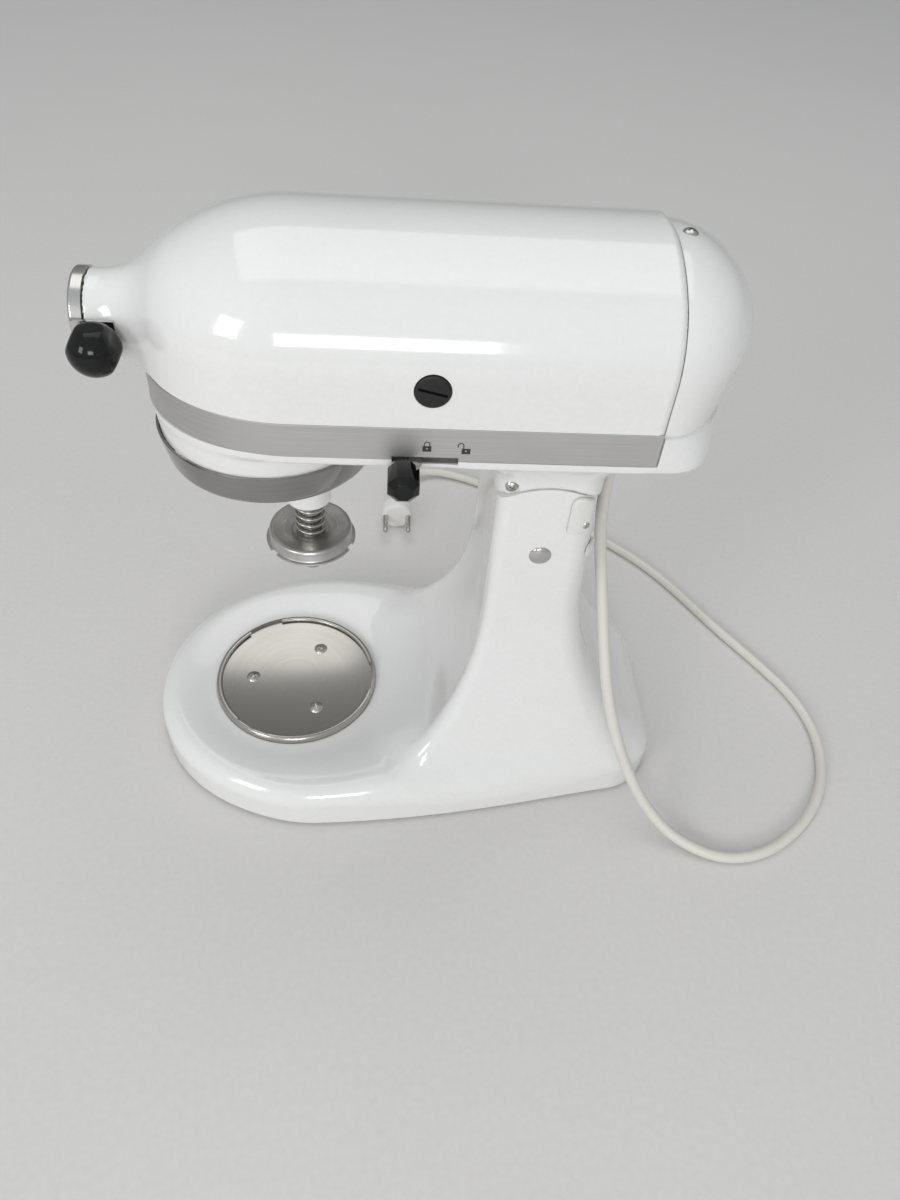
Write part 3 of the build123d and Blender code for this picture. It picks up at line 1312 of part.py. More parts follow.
with BuildPart() as wheel_pinion:
    facing_gap = TRAIN_ANGLE + 180 + 180 / WHEEL_PINION_TEETH
    with BuildSketch(Plane((WHEEL_X, WHEEL_Y, CENTRE_GEAR_Z))):
        add(spur_sketch(WHEEL_PINION_TEETH, TRAIN_MODULE, WHEEL_SHAFT_RADIUS + SEAT_CLEARANCE, facing_gap))
    extrude(amount=CENTRE_GEAR_HEIGHT)
finish(wheel_pinion.part, "wheel_pinion")

with BuildPart() as worm_wheel:
    wheel_module = 2 * WHEEL_PITCH_RADIUS / WHEEL_TEETH
    with BuildSketch(Plane((WHEEL_X, WHEEL_Y, MOTOR_Z - WHEEL_HEIGHT / 2))):
        add(spur_sketch(WHEEL_TEETH, wheel_module, WHEEL_SHAFT_RADIUS + SEAT_CLEARANCE, -90))
    extrude(amount=WHEEL_HEIGHT)
finish(worm_wheel.part, "worm_wheel")

# Motor rotor: shaft, worm, armature, commutator and fan
rotor_bore = MOTOR_SHAFT_RADIUS + SEAT_CLEARANCE
with BuildPart() as motor_shaft:
    add(rod((MOTOR_SHAFT_FRONT_X, 0, MOTOR_Z), (MOTOR_SHAFT_REAR_X, 0, MOTOR_Z), MOTOR_SHAFT_RADIUS))
    chamfer(motor_shaft.edges().filter_by(GeomType.CIRCLE), 0.8)
finish(motor_shaft.part, "motor_shaft")

worm_length = WORM_TURNS * WORM_LEAD
worm_start_x = WHEEL_X - worm_length / 2
with BuildPart() as thread:
    with BuildLine() as thread_path:
        Helix(WORM_LEAD, worm_length, WORM_ROOT_RADIUS)
    with BuildSketch(Plane(origin=thread_path.line @ 0, x_dir=(1, 0, 0), z_dir=thread_path.line % 0)):
        Polygon(
            (-0.4, -WORM_THREAD_FOOT),
            (WORM_TIP_RADIUS - WORM_ROOT_RADIUS, -WORM_THREAD_TIP),
            (WORM_TIP_RADIUS - WORM_ROOT_RADIUS, WORM_THREAD_TIP),
            (-0.4, WORM_THREAD_FOOT),
            align=None,
        )
    sweep(is_frenet=True)

with BuildPart() as worm:
    worm_plane = Plane(origin=(worm_start_x, 0, MOTOR_Z), x_dir=(0, 1, 0), z_dir=(1, 0, 0))
    add(
        tube(
            (worm_start_x - WORM_LEAD / 2, 0, MOTOR_Z),
            (worm_start_x + worm_length + WORM_LEAD / 2, 0, MOTOR_Z),
            WORM_ROOT_RADIUS,
            rotor_bore,
        )
    )
    add(worm_plane.location * thread.part)
finish(worm.part, "worm")

with BuildPart() as armature:
    with BuildSketch(Plane((STATOR_FRONT_X, 0, MOTOR_Z), z_dir=(1, 0, 0))):
        Circle(ARMATURE_RADIUS)
        Circle(rotor_bore, mode=Mode.SUBTRACT)
        with PolarLocations(ARMATURE_RADIUS, ARMATURE_SLOTS):
            Rectangle(2 * ARMATURE_SLOT_DEPTH, ARMATURE_SLOT_WIDTH, mode=Mode.SUBTRACT)
    extrude(amount=STATOR_LENGTH)
finish(armature.part, "armature_core")

with BuildPart() as commutator:
    with BuildSketch(Plane((BRUSH_X - COMMUTATOR_LENGTH / 2, 0, MOTOR_Z), z_dir=(1, 0, 0))):
        Circle(COMMUTATOR_RADIUS)
        Circle(rotor_bore, mode=Mode.SUBTRACT)
        with PolarLocations(COMMUTATOR_RADIUS, COMMUTATOR_BARS):
            Rectangle(2 * COMMUTATOR_SLOT, COMMUTATOR_SLOT / 2, mode=Mode.SUBTRACT)
    extrude(amount=COMMUTATOR_LENGTH)
finish(commutator.part, "commutator")

with BuildPart() as fan:
    with BuildSketch(Plane((FAN_X, 0, MOTOR_Z), z_dir=(1, 0, 0))):
        Circle(FAN_RADIUS)
        Circle(rotor_bore, mode=Mode.SUBTRACT)
    extrude(amount=FAN_WALL)
    blade_length = FAN_RADIUS - FAN_HUB_RADIUS
    blade_middle = (FAN_HUB_RADIUS + FAN_RADIUS) / 2 - FAN_WALL
    with BuildSketch(Plane((FAN_X, 0, MOTOR_Z), z_dir=(1, 0, 0))):
        Circle(FAN_HUB_RADIUS)
        with PolarLocations(blade_middle, FAN_BLADES):
            Rectangle(blade_length, FAN_WALL)
        Circle(rotor_bore, mode=Mode.SUBTRACT)
    extrude(amount=FAN_LENGTH)
finish(fan.part, "cooling_fan")

# Fixed side of the motor: stator, coils, bulkheads, bearings, brushes
with BuildPart() as stator:
    stator_end_x = STATOR_FRONT_X + STATOR_LENGTH
    add(tube((STATOR_FRONT_X, 0, MOTOR_Z), (stator_end_x, 0, MOTOR_Z), STATOR_RADIUS, STATOR_BORE))
finish(stator.part, "motor_stator")

with BuildPart() as field_coils:
    for coil_x in (STATOR_FRONT_X - COIL_LENGTH, stator_end_x):
        coil_end = (coil_x + COIL_LENGTH, 0, MOTOR_Z)
        add(tube((coil_x, 0, MOTOR_Z), coil_end, COIL_OUTER_RADIUS, COIL_INNER_RADIUS))
finish(field_coils.part, "field_coils")


def bulkhead(x, low_z):
    """Plate across the head with a bearing seat and air windows."""
    with BuildPart() as plate:
        with BuildSketch(Plane.YZ.offset(x)):
            add(head_section(BULKHEAD_INSET, low_z))
            with Locations((0, MOTOR_Z)):
                Circle(BEARING_RADIUS + SEAT_CLEARANCE, mode=Mode.SUBTRACT)
                with PolarLocations(BULKHEAD_WINDOW_CIRCLE, BULKHEAD_WINDOWS):
                    Circle(BULKHEAD_WINDOW_RADIUS, mode=Mode.SUBTRACT)
        extrude(amount=BULKHEAD_THICKNESS)
    return plate.part


with BuildPart() as front_bulkhead:
    add(bulkhead(FRONT_BULKHEAD_X, GEAR_PLATE_TOP_Z))
finish(front_bulkhead.part, "front_bulkhead")

with BuildPart() as rear_bulkhead:
    add(bulkhead(REAR_BULKHEAD_X, FLOOR_Z))
finish(rear_bulkhead.part, "rear_bulkhead")

with BuildPart() as motor_bearings:
    for bearing_x in (FRONT_BULKHEAD_X, REAR_BULKHEAD_X):
        bearing_end = (bearing_x + BULKHEAD_THICKNESS, 0, MOTOR_Z)
        bearing_bore = MOTOR_SHAFT_RADIUS + RUNNING_CLEARANCE
        add(tube((bearing_x, 0, MOTOR_Z), bearing_end, BEARING_RADIUS, bearing_bore))
finish(motor_bearings.part, "motor_bearings")

cap_inner_y = HEAD_HALF - BRUSH_CAP_LENGTH + BRUSH_CAP_PROUD
with BuildPart() as brush_holders:
    for side in (1, -1):
        holder_start = (BRUSH_X, side * HOLDER_START_Y, MOTOR_Z)
        holder_end = (BRUSH_X, side * (cap_inner_y - SHAFT_END_GAP), MOTOR_Z)
        add(rod(holder_start, holder_end, HOLDER_RADIUS))
    bore_half = BRUSH_HALF + RUNNING_CLEARANCE
    add(
        block(
            (BRUSH_X - bore_half, -HEAD_WIDTH, MOTOR_Z - bore_half),
            (BRUSH_X + bore_half, HEAD_WIDTH, MOTOR_Z + bore_half),
        ),
        mode=Mode.SUBTRACT,
    )
finish(brush_holders.part, "brush_holders")

brush_start_y = COMMUTATOR_RADIUS + BRUSH_GAP
with BuildPart() as carbon_brushes:
    for side in (1, -1):
        inner_y = min(side * brush_start_y, side * (brush_start_y + BRUSH_LENGTH))
        add(
            block(
                (BRUSH_X - BRUSH_HALF, inner_y, MOTOR_Z - BRUSH_HALF),
                (BRUSH_X + BRUSH_HALF, inner_y + BRUSH_LENGTH, MOTOR_Z + BRUSH_HALF),
            )
        )
finish(carbon_brushes.part, "carbon_brushes")


def brush_cap(side):
    """Round screw-in cap with a coin slot, on one side of the head."""
    outer_y = HEAD_HALF + BRUSH_CAP_PROUD
    with BuildPart() as cap:
        cap_inner = (BRUSH_X, side * cap_inner_y, MOTOR_Z)
        add(rod(cap_inner, (BRUSH_X, side * outer_y, MOTOR_Z), BRUSH_CAP_RADIUS))
        outer_edge = cap.edges().filter_by(GeomType.CIRCLE).sort_by(Axis.Y)[-1 if side > 0 else 0]
        chamfer(outer_edge, BRUSH_CAP_CHAMFER)
        with BuildSketch(Plane((BRUSH_X, side * outer_y, MOTOR_Z), x_dir=(1, 0, 0), z_dir=(0, side, 0))):
            Rectangle(COIN_SLOT_LENGTH, COIN_SLOT_WIDTH)
        extrude(amount=-COIN_SLOT_DEPTH, mode=Mode.SUBTRACT)
    return cap.part


with BuildPart() as near_brush_cap:
    add(brush_cap(-1))
finish(near_brush_cap.part, "near_brush_cap")

with BuildPart() as far_brush_cap:
    add(brush_cap(1))
finish(far_brush_cap.part, "far_brush_cap")

# Attachment drive: bush, socket shaft and its bevel gear
hub_bore = HUB_SHAFT_RADIUS + RUNNING_CLEARANCE
with BuildPart() as hub_bush:
    bush_radius = SOCKET_RADIUS - SEAT_CLEARANCE
    add(tube((HUB_BUSH_FRONT_X, 0, HUB_Z), (SOCKET_END_X, 0, HUB_Z), bush_radius, hub_bore))
finish(hub_bush.part, "hub_bush")

with BuildPart() as hub_shaft:
    add(rod((HUB_SHAFT_FRONT_X, 0, HUB_Z), (BEVEL_X + BEVEL_FACE, 0, HUB_Z), HUB_SHAFT_RADIUS))
    with BuildSketch(Plane((HUB_SHAFT_FRONT_X, 0, HUB_Z), z_dir=(1, 0, 0))):
        Rectangle(HUB_SQUARE, HUB_SQUARE)
    extrude(amount=HUB_SQUARE_DEPTH, mode=Mode.SUBTRACT)
    bevel_length = BEVEL_FACE + SHAFT_END_GAP
    add(
        tube(
            (BEVEL_X - SHAFT_END_GAP, 0, HUB_Z),
            (BEVEL_X + bevel_length, 0, HUB_Z),
            2 * HUB_SHAFT_RADIUS,
            CENTRE_SHAFT_RADIUS,
        ),
        mode=Mode.SUBTRACT,
    )
finish(hub_shaft.part, "hub_drive_shaft")

with BuildPart() as hub_bevel:
    hub_bevel_plane = Plane(origin=(BEVEL_X, 0, HUB_Z), x_dir=(0, 0, -1), z_dir=(1, 0, 0))
    bevel_shape = bevel_gear(180 / BEVEL_TEETH, CENTRE_SHAFT_RADIUS + SEAT_CLEARANCE)
    add(hub_bevel_plane.location * bevel_shape)
finish(hub_bevel.part, "hub_bevel")


def lever_arm(x, side):
    """Flat lever arm through the seam slot, with its slider block on the floor inside."""
    near_x = x - ARM_WIDTH / 2
    far_x = x + ARM_WIDTH / 2
    slider_y = min(side * (ARM_INNER_Y - SLIDER_WIDTH / 2), side * (ARM_INNER_Y + SLIDER_WIDTH / 2))
    with BuildPart() as arm:
        with BuildSketch(Plane.XY.offset(ARM_LOW_Z)):
            with BuildLine():
                Polyline(
                    (near_x, side * ARM_INNER_Y),
                    (near_x, side * ARM_BEND_Y),
                    (near_x - ARM_LEAN, side * ARM_END_Y),
                    (far_x - ARM_LEAN, side * ARM_END_Y),
                    (far_x, side * ARM_BEND_Y),
                    (far_x, side * ARM_INNER_Y),
                    close=True,
                )
            make_face()
        extrude(amount=ARM_THICKNESS)
        add(
            block(
                (x - SLIDER_LENGTH / 2, slider_y, FLOOR_Z + SHAFT_END_GAP),
                (x + SLIDER_LENGTH / 2, slider_y + SLIDER_WIDTH, ARM_LOW_Z + ARM_THICKNESS),
            )
        )
    return arm.part


def lever_knob(x, side, arm_shape):
    """Faceted knob along Y, seated on the end of an arm."""
    knob_start = (x - ARM_LEAN, side * LEVER_KNOB_START_Y, LEVER_KNOB_Z)
    knob_plane = Plane(knob_start, x_dir=(1, 0, 0), z_dir=(0, side, 0))
    with BuildPart() as knob:
        with BuildSketch(knob_plane):
            RegularPolygon(LEVER_KNOB_RADIUS, LEVER_KNOB_FACES, rotation=180 / LEVER_KNOB_FACES)
        extrude(amount=LEVER_KNOB_END_Y - LEVER_KNOB_START_Y)
        outer_face = knob.faces().sort_by(Axis.Y)[-1 if side > 0 else 0]
        chamfer(outer_face.edges(), LEVER_KNOB_CHAMFER)
        add(arm_shape, mode=Mode.SUBTRACT)
    return knob.part


with BuildPart() as lock_arm:
    add(lever_arm(LOCK_X, -1))
finish(lock_arm.part, "lock_lever_arm")

with BuildPart() as lock_knob:
    add(lever_knob(LOCK_X, -1, lock_arm.part))
finish(lock_knob.part, "lock_lever_knob")

with BuildPart() as speed_arm:
    add(lever_arm(SPEED_X, 1))
finish(speed_arm.part, "speed_lever_arm")

with BuildPart() as speed_knob:
    add(lever_knob(SPEED_X, 1, speed_arm.part))
finish(speed_knob.part, "speed_lever_knob")

# Hub cap with the ear that the ball knob holds
cap_back_x = NOSE_X - CAP_GAP
cap_front_x = cap_back_x - CAP_THICKNESS
ear_inner_y = -NOSE_RADIUS - CAP_GAP
ear_outer_y = ear_inner_y - EAR_THICKNESS
with BuildPart() as hub_cap:
    add(rod((cap_front_x, 0, HUB_Z), (cap_back_x, 0, HUB_Z), CAP_RADIUS))
    fillet(hub_cap.edges().group_by(Axis.X)[0], CAP_ROUND)
    add(rod((cap_front_x + 1, 0, HUB_Z), (cap_back_x + CAP_PLUG_LENGTH, 0, HUB_Z), CAP_PLUG_RADIUS))
    add(
        block(
            (cap_front_x + CAP_ROUND, ear_outer_y, HUB_Z - EAR_HALF),
            (cap_back_x, -CAP_PLUG_RADIUS, HUB_Z + EAR_HALF),
        )
    )
    add(
        block(
            (cap_front_x + CAP_ROUND, ear_outer_y, HUB_Z - EAR_HALF),
            (EAR_END_X, ear_inner_y, HUB_Z + EAR_HALF),
        )
    )
    ear_slot_half = BALL_SCREW_RADIUS + CAP_GAP
    add(
        block(
            (BALL_X - ear_slot_half, ear_outer_y - 1, HUB_Z - ear_slot_half),
            (EAR_END_X + 1, ear_inner_y + 1, HUB_Z + ear_slot_half),
        ),
        mode=Mode.SUBTRACT,
    )
finish(hub_cap.part, "hub_cap")

ball_y = ear_outer_y - CAP_GAP - BALL_SEAT
with BuildPart() as ball_knob:
    with Locations((BALL_X, ball_y, HUB_Z)):
        Sphere(BALL_RADIUS)
    with BuildSketch(Plane((BALL_X, ball_y + BALL_SEAT, HUB_Z), x_dir=(1, 0, 0), z_dir=(0, -1, 0))):
        RegularPolygon(BALL_FACET, BALL_FACES, major_radius=False)
    extrude(amount=2 * BALL_RADIUS, mode=Mode.INTERSECT)
    add(
        rod((BALL_X, ball_y, HUB_Z), (BALL_X, 0, HUB_Z), BALL_SCREW_RADIUS + SEAT_CLEARANCE),
        mode=Mode.SUBTRACT,
    )
finish(ball_knob.part, "ball_knob")

with BuildPart() as ball_screw:
    add(rod((BALL_X, ball_y, HUB_Z), (BALL_X, -BALL_SCREW_TIP, HUB_Z), BALL_SCREW_RADIUS))
finish(ball_screw.part, "ball_screw")

# Cord gland, cord and plug
with BuildPart() as cord_gland:
    add(
        rod(
            (GLAND_X, GLAND_Y, GLAND_SHOULDER_Z),
            (GLAND_X, GLAND_Y, FLOOR_Z - SHAFT_END_GAP),
            GLAND_TOP_RADIUS,
        )
    )
    with Locations((GLAND_X, GLAND_Y, GLAND_TIP_Z)):
        Cone(
            GLAND_TIP_RADIUS,
            GLAND_TOP_RADIUS,
            GLAND_SHOULDER_Z - GLAND_TIP_Z,
            align=(Align.CENTER, Align.CENTER, Align.MIN),
        )
finish(cord_gland.part, "cord_gland")


def cord_radii(points):
    """Bend radius at each inner point: bends share a run between them, and an end run serves one bend."""
    last = len(points) - 2
    radii = []
    for index, (before, here, after) in enumerate(zip(points, points[1:], points[2:]), start=1):
        arriving = Vector(here) - Vector(before)
        leaving = Vector(after) - Vector(here)
        turn = math.radians(arriving.get_angle(leaving))
        room_before = arriving.length * (END_RUN_SHARE if index == 1 else RUN_SHARE)
        room_after = leaving.length * (END_RUN_SHARE if index == last else RUN_SHARE)
        radii.append(min(room_before, room_after) / math.tan(turn / 2))
    return radii


def cord_run(points, name):
    """Round cord swept through a run of points, checked against its own section and length."""
    radii = cord_radii(points)
    with BuildPart() as cord:
        with BuildLine() as path:
            FilletPolyline(*points, radius=radii)
        with BuildSketch(Plane(origin=path.line @ 0, z_dir=path.line % 0)):
            Circle(CORD_RADIUS)
        sweep()
    length = path.wires()[0].length
    print(name, "length", round(length, 1), "bend radii", [round(radius) for radius in radii])
    print(name, "volume over section times length", cord.part.volume / (math.pi * CORD_RADIUS**2 * length))
    return cord.part


cord_split = (Vector(CORD_ROUTE[HANGING_POINTS - 1]) + Vector(CORD_ROUTE[HANGING_POINTS])) * 0.5
with BuildPart() as cord_hanging:
    add(cord_run(CORD_ROUTE[:HANGING_POINTS] + [tuple(cord_split)], "cord_hanging"))
finish(cord_hanging.part, "cord_hanging")

with BuildPart() as cord_floor:
    add(cord_run([tuple(cord_split)] + CORD_ROUTE[HANGING_POINTS:], "cord_floor"))
finish(cord_floor.part, "cord_floor")

plug_plane = Plane(origin=(PLUG_X, PLUG_BACK_Y, PLUG_RADIUS), x_dir=(0, -1, 0), z_dir=(-1, 0, 0))
with BuildPart() as plug:
    with BuildSketch(plug_plane):
        with BuildLine():
            Line((0, 0), (0, PLUG_NECK_RADIUS))
            Spline(
                (0, PLUG_NECK_RADIUS),
                (PLUG_SHOULDER, PLUG_RADIUS),
                tangents=[(1, 0.2), (1, 0)],
            )
            Polyline(
                (PLUG_SHOULDER, PLUG_RADIUS),
                (PLUG_LENGTH - PLUG_EDGE, PLUG_RADIUS),
                (PLUG_LENGTH, PLUG_RADIUS - PLUG_EDGE),
                (PLUG_LENGTH, 0),
                (0, 0),
            )
        make_face()
    revolve(axis=Axis((PLUG_X, PLUG_BACK_Y, PLUG_RADIUS), (0, -1, 0)))
finish(plug.part, "plug")

with BuildPart() as plug_pins:
    pin_start_y = PLUG_BACK_Y - PLUG_LENGTH
    for pin_x in (PLUG_X - PLUG_PIN_SPACING, PLUG_X + PLUG_PIN_SPACING):
        pin_end = (pin_x, pin_start_y - PLUG_PIN_LENGTH, PLUG_RADIUS)
        add(rod((pin_x, pin_start_y, PLUG_RADIUS), pin_end, PLUG_PIN_RADIUS))
finish(plug_pins.part, "plug_pins")
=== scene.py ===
"""Looks of a white tilt-head stand mixer, in metres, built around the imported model."""

import json
import logging
import math
from collections.abc import Callable, Iterable, Sequence
from dataclasses import dataclass
from enum import Enum

import bmesh
import bpy
import numpy as np
from mathutils import Matrix, Vector


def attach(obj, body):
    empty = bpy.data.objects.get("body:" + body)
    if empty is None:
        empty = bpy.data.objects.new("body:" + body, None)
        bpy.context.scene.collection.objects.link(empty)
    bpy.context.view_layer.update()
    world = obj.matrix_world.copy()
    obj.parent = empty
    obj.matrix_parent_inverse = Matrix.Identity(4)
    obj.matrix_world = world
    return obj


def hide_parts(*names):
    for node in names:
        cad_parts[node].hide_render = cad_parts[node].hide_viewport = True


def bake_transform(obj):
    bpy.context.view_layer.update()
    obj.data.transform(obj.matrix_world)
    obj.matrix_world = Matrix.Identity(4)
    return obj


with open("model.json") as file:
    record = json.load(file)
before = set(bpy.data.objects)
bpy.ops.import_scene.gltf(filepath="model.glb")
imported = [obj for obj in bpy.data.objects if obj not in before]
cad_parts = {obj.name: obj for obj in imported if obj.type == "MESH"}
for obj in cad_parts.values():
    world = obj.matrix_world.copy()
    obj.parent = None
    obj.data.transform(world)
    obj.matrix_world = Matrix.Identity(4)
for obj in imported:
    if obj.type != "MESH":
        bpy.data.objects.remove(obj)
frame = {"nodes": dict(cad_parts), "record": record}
for startup_name in ("Cube", "Light", "Camera"):
    startup_object = bpy.data.objects.get(startup_name)
    if startup_object is not None:
        bpy.data.objects.remove(startup_object)
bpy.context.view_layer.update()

Point = Sequence[float]
Pair = tuple[float, float]
Triple = tuple[float, float, float]
Box = tuple[Triple, Triple]
Profile = tuple[Pair, ...]
Field = Callable[[np.ndarray], np.ndarray]
Mesh = bpy.types.Mesh
Socket = bpy.types.NodeSocket

LOG = logging.getLogger("mixer")
MM = 0.001
MERGE = 1e-7

# Places shared by several sub-assemblies, in millimetres.
BOWL_CENTRE = (-74.5, 0.0, 0.0)
BEATER_CENTRE = (-56.115, -18.385, 0.0)
HINGE = (67.0, 193.0)
HUB_Z = 300.0
BRUSH_CENTRE = (4.0, 303.0)
BALL_CENTRE = (-143.0, -32.7, HUB_Z)
CORD_HOLE = (104.0, -10.0)
COVER_SCREW = (117.0, 0.0, 349.8)
BLOCK_SCREW = (47.0, -43.0, 238.0)
CASE_Z = 260.6
DOME_X = -58.0
DOME_STRETCH = 1.2
LOCK_SLOT = ((-13.0, -70.0, 264.2), (17.4, -50.0, 268.4))
SPEED_SLOT = ((-1.9, 50.0, 264.2), (41.9, 70.0, 268.4))
LOCK_WELL = ((-13.0, -59.2, 261.6), (17.4, -50.0, 268.4))
SPEED_WELL = ((-1.9, 50.0, 261.6), (41.9, 59.2, 268.4))
FOOT_CENTRES = (
    (-152.0, 0.0), (-69.0, 83.0), (-69.0, -83.0), (146.142, 50.142), (146.142, -50.142),
)


def metres(point: Iterable[float]) -> tuple[float, ...]:
    """Values in millimetres as values in metres."""
    return tuple(MM * value for value in point)


class Grain(Enum):
    """How the fine grain of a finish runs over the surface."""

    EVEN = "the same in all directions"
    STREAKED = "long streaks along the piece's own UV map"
    TURNED = "rings round an axis, as left by a lathe"


class Cut(Enum):
    """What a cutter does to a closed mesh."""

    REMOVE = "DIFFERENCE"
    JOIN = "UNION"


class Turn(Enum):
    """Axis that a turned piece or grain runs round, as the rotation that brings Z onto it."""

    X = (0.0, math.pi / 2, 0.0)
    Y = (math.pi / 2, 0.0, 0.0)
    Z = (0.0, 0.0, 0.0)


PRISM_ORDER = {Turn.X: (2, 0, 1), Turn.Y: (0, 2, 1), Turn.Z: (0, 1, 2)}
LATHE_AXES = {
    Turn.X: Matrix(((0, 0, 1), (0, 1, 0), (-1, 0, 0))),
    Turn.Y: Matrix(((1, 0, 0), (0, 0, 1), (0, -1, 0))),
    Turn.Z: Matrix.Identity(3),
}


class NodeSheet:
    """Node tree with short calls that add and join nodes."""

    def __init__(self, tree: bpy.types.NodeTree) -> None:
        """Work on a tree."""
        self.tree = tree

    def node(
        self, kind: str, settings: dict[str, str] | None = None, **values: object
    ) -> bpy.types.Node:
        """Add a node and fill its inputs.

        Args:
            kind: Blender's name for the kind of node.
            settings: Options of the node, set before its inputs.
            values: Value or linked socket for each input, named with underscores for spaces.

        Returns:
            The node.
        """
        node = self.tree.nodes.new(kind)
        for option, choice in (settings or {}).items():
            setattr(node, option, choice)
        for label, value in values.items():
            socket = node.inputs[label.replace("_", " ")]
            if isinstance(value, Socket):
                self.link(value, socket)
            else:
                socket.default_value = value
        return node

    def link(self, source: Socket, target: Socket) -> None:
        """Join two sockets."""
        self.tree.links.new(source, target)

    def spread(self, value: Socket, source: Pair, target: Pair) -> Socket:
        """Map a value from one range to another, and hold it inside.

        Args:
            value: The value.
            source: Range that it comes from.
            target: Range that it goes to.

        Returns:
            The mapped value.
        """
        low, high = source
        ends = {"From_Min": low, "From_Max": high, "To_Min": target[0], "To_Max": target[1]}
        return self.node("ShaderNodeMapRange", Value=value, **ends).outputs["Result"]

    def tint(self, share: Socket, first: Triple, second: Triple) -> Socket:
        """Mix two colours.

        Args:
            share: Share of the second colour, from 0 to 1.
            first: One colour.
            second: The other colour.

        Returns:
            The colour between them.
        """
        colours = {"A": (*first, 1.0), "B": (*second, 1.0)}
        mix = self.node("ShaderNodeMix", {"data_type": "RGBA"}, Factor=share, **colours)
        return mix.outputs["Result"]


class ShaderSheet(NodeSheet):
    """Node tree of one material, round its shader."""

    def __init__(self, name: str) -> None:
        """Start a material that holds only its shader.

        Args:
            name: Name of the material.
        """
        self.material = bpy.data.materials.new(name)
        self.material.use_nodes = True
        super().__init__(self.material.node_tree)
        self.shader = self.tree.nodes["Principled BSDF"]
        self.coordinates = self.node("ShaderNodeTexCoord")

    def mapped(self, source: str, centre: Point, stretch: Point, turn: Turn) -> Socket:
        """Coordinates about a centre, stretched along each axis.

        Args:
            source: Name of the texture coordinate output.
            centre: Point in metres that becomes the origin.
            stretch: Factor for each axis.
            turn: Axis that becomes Z.

        Returns:
            The vector socket.
        """
        vector = self.coordinates.outputs[source]
        steps = {
            "Location": [-value for value in centre],
            "Rotation": [-value for value in turn.value],
            "Scale": stretch,
        }
        for label, value in steps.items():
            move = self.node("ShaderNodeMapping", Vector=vector, **{label: value})
            vector = move.outputs["Vector"]
        return vector

    def rings(self, vector: Socket) -> Socket:
        """Coordinates of radius and height about Z, so that a noise on them runs in rings.

        Args:
            vector: Coordinates to start from.

        Returns:
            The vector socket.
        """
        parts = self.node("ShaderNodeSeparateXYZ", Vector=vector).outputs
        flat = self.node("ShaderNodeCombineXYZ", X=parts["X"], Y=parts["Y"])
        length = {"operation": "LENGTH"}
        radius = self.node("ShaderNodeVectorMath", length, Vector=flat.outputs["Vector"])
        ring = self.node("ShaderNodeCombineXYZ", X=radius.outputs["Value"], Y=parts["Z"])
        return ring.outputs["Vector"]

    def noise(self, vector: Socket, scale: float, detail: float) -> Socket:
        """Noise between 0 and 1, with features of about 1 / scale metres."""
        texture = self.node("ShaderNodeTexNoise", Vector=vector, Scale=scale, Detail=detail)
        return texture.outputs["Fac"]

    def together(self, first: Socket, second: Socket) -> Socket:
        """Mean of two values.

        Args:
            first: One value.
            second: The other value.

        Returns:
            The mean.
        """
        total = self.node("ShaderNodeMath", {"operation": "ADD"}, Value=first)
        self.link(second, total.inputs[1])
        half = self.node("ShaderNodeMath", {"operation": "MULTIPLY"}, Value=total.outputs["Value"])
        half.inputs[1].default_value = 0.5
        return half.outputs["Value"]

    def bump(self, height: Socket, depth: float) -> None:
        """Relief of a depth in metres, from a height between 0 and 1."""
        relief = self.node("ShaderNodeBump", Strength=1.0, Distance=depth, Height=height)
        self.link(relief.outputs["Normal"], self.shader.inputs["Normal"])


@dataclass(frozen=True)
class Finish:
    """A surface finish: its colours, its gloss and the grain that breaks them up."""

    name: str
    colour: Triple
    shade: Triple
    roughness: Pair
    metallic: float = 0.0
    coat: float = 0.0
    coat_roughness: float = 0.04
    specular: float = 0.5
    patch_scale: float = 14.0
    patch_range: Pair = (0.4, 0.7)
    patch_detail: float = 5.0
    grain: Grain = Grain.EVEN
    grain_scale: float = 600.0
    grain_stretch: Triple = (1.0, 1.0, 1.0)
    grain_depth: float = 10e-6
    grain_detail: float = 3.0
    centre: Triple = (0.0, 0.0, 0.0)
    turn: Turn = Turn.Z

    def make(self) -> bpy.types.Material:
        """Build the finish as a material.

        Returns:
            The material, with colour patches, uneven gloss and a fine relief.
        """
        sheet = ShaderSheet(self.name)
        sockets = sheet.shader.inputs
        sockets["Metallic"].default_value = self.metallic
        sockets["Coat Weight"].default_value = self.coat
        sockets["Coat Roughness"].default_value = self.coat_roughness
        sockets["Specular IOR Level"].default_value = self.specular
        plain = sheet.coordinates.outputs["Object"]
        patches = sheet.noise(plain, self.patch_scale, self.patch_detail)
        grain = sheet.noise(self.grain_vector(sheet), self.grain_scale, self.grain_detail)
        uneven = sheet.together(patches, grain)
        share = sheet.spread(uneven, self.patch_range, (0.0, 1.0))
        sheet.link(sheet.tint(share, self.colour, self.shade), sockets["Base Color"])
        gloss = sheet.spread(uneven, self.patch_range, self.roughness)
        sheet.link(gloss, sockets["Roughness"])
        sheet.bump(grain, self.grain_depth)
        return sheet.material

    def grain_vector(self, sheet: ShaderSheet) -> Socket:
        """Coordinates that the grain's noise reads, by the way the grain runs.

        Args:
            sheet: Node tree of the material.

        Returns:
            The vector socket.
        """
        if self.grain is Grain.STREAKED:
            return sheet.mapped("UV", (0.0, 0.0, 0.0), self.grain_stretch, Turn.Z)
        vector = sheet.mapped("Object", self.centre, self.grain_stretch, self.turn)
        return sheet.rings(vector) if self.grain is Grain.TURNED else vector


@dataclass(frozen=True)
class Metal(Finish):
    """A finish of bare metal."""

    metallic: float = 1.0


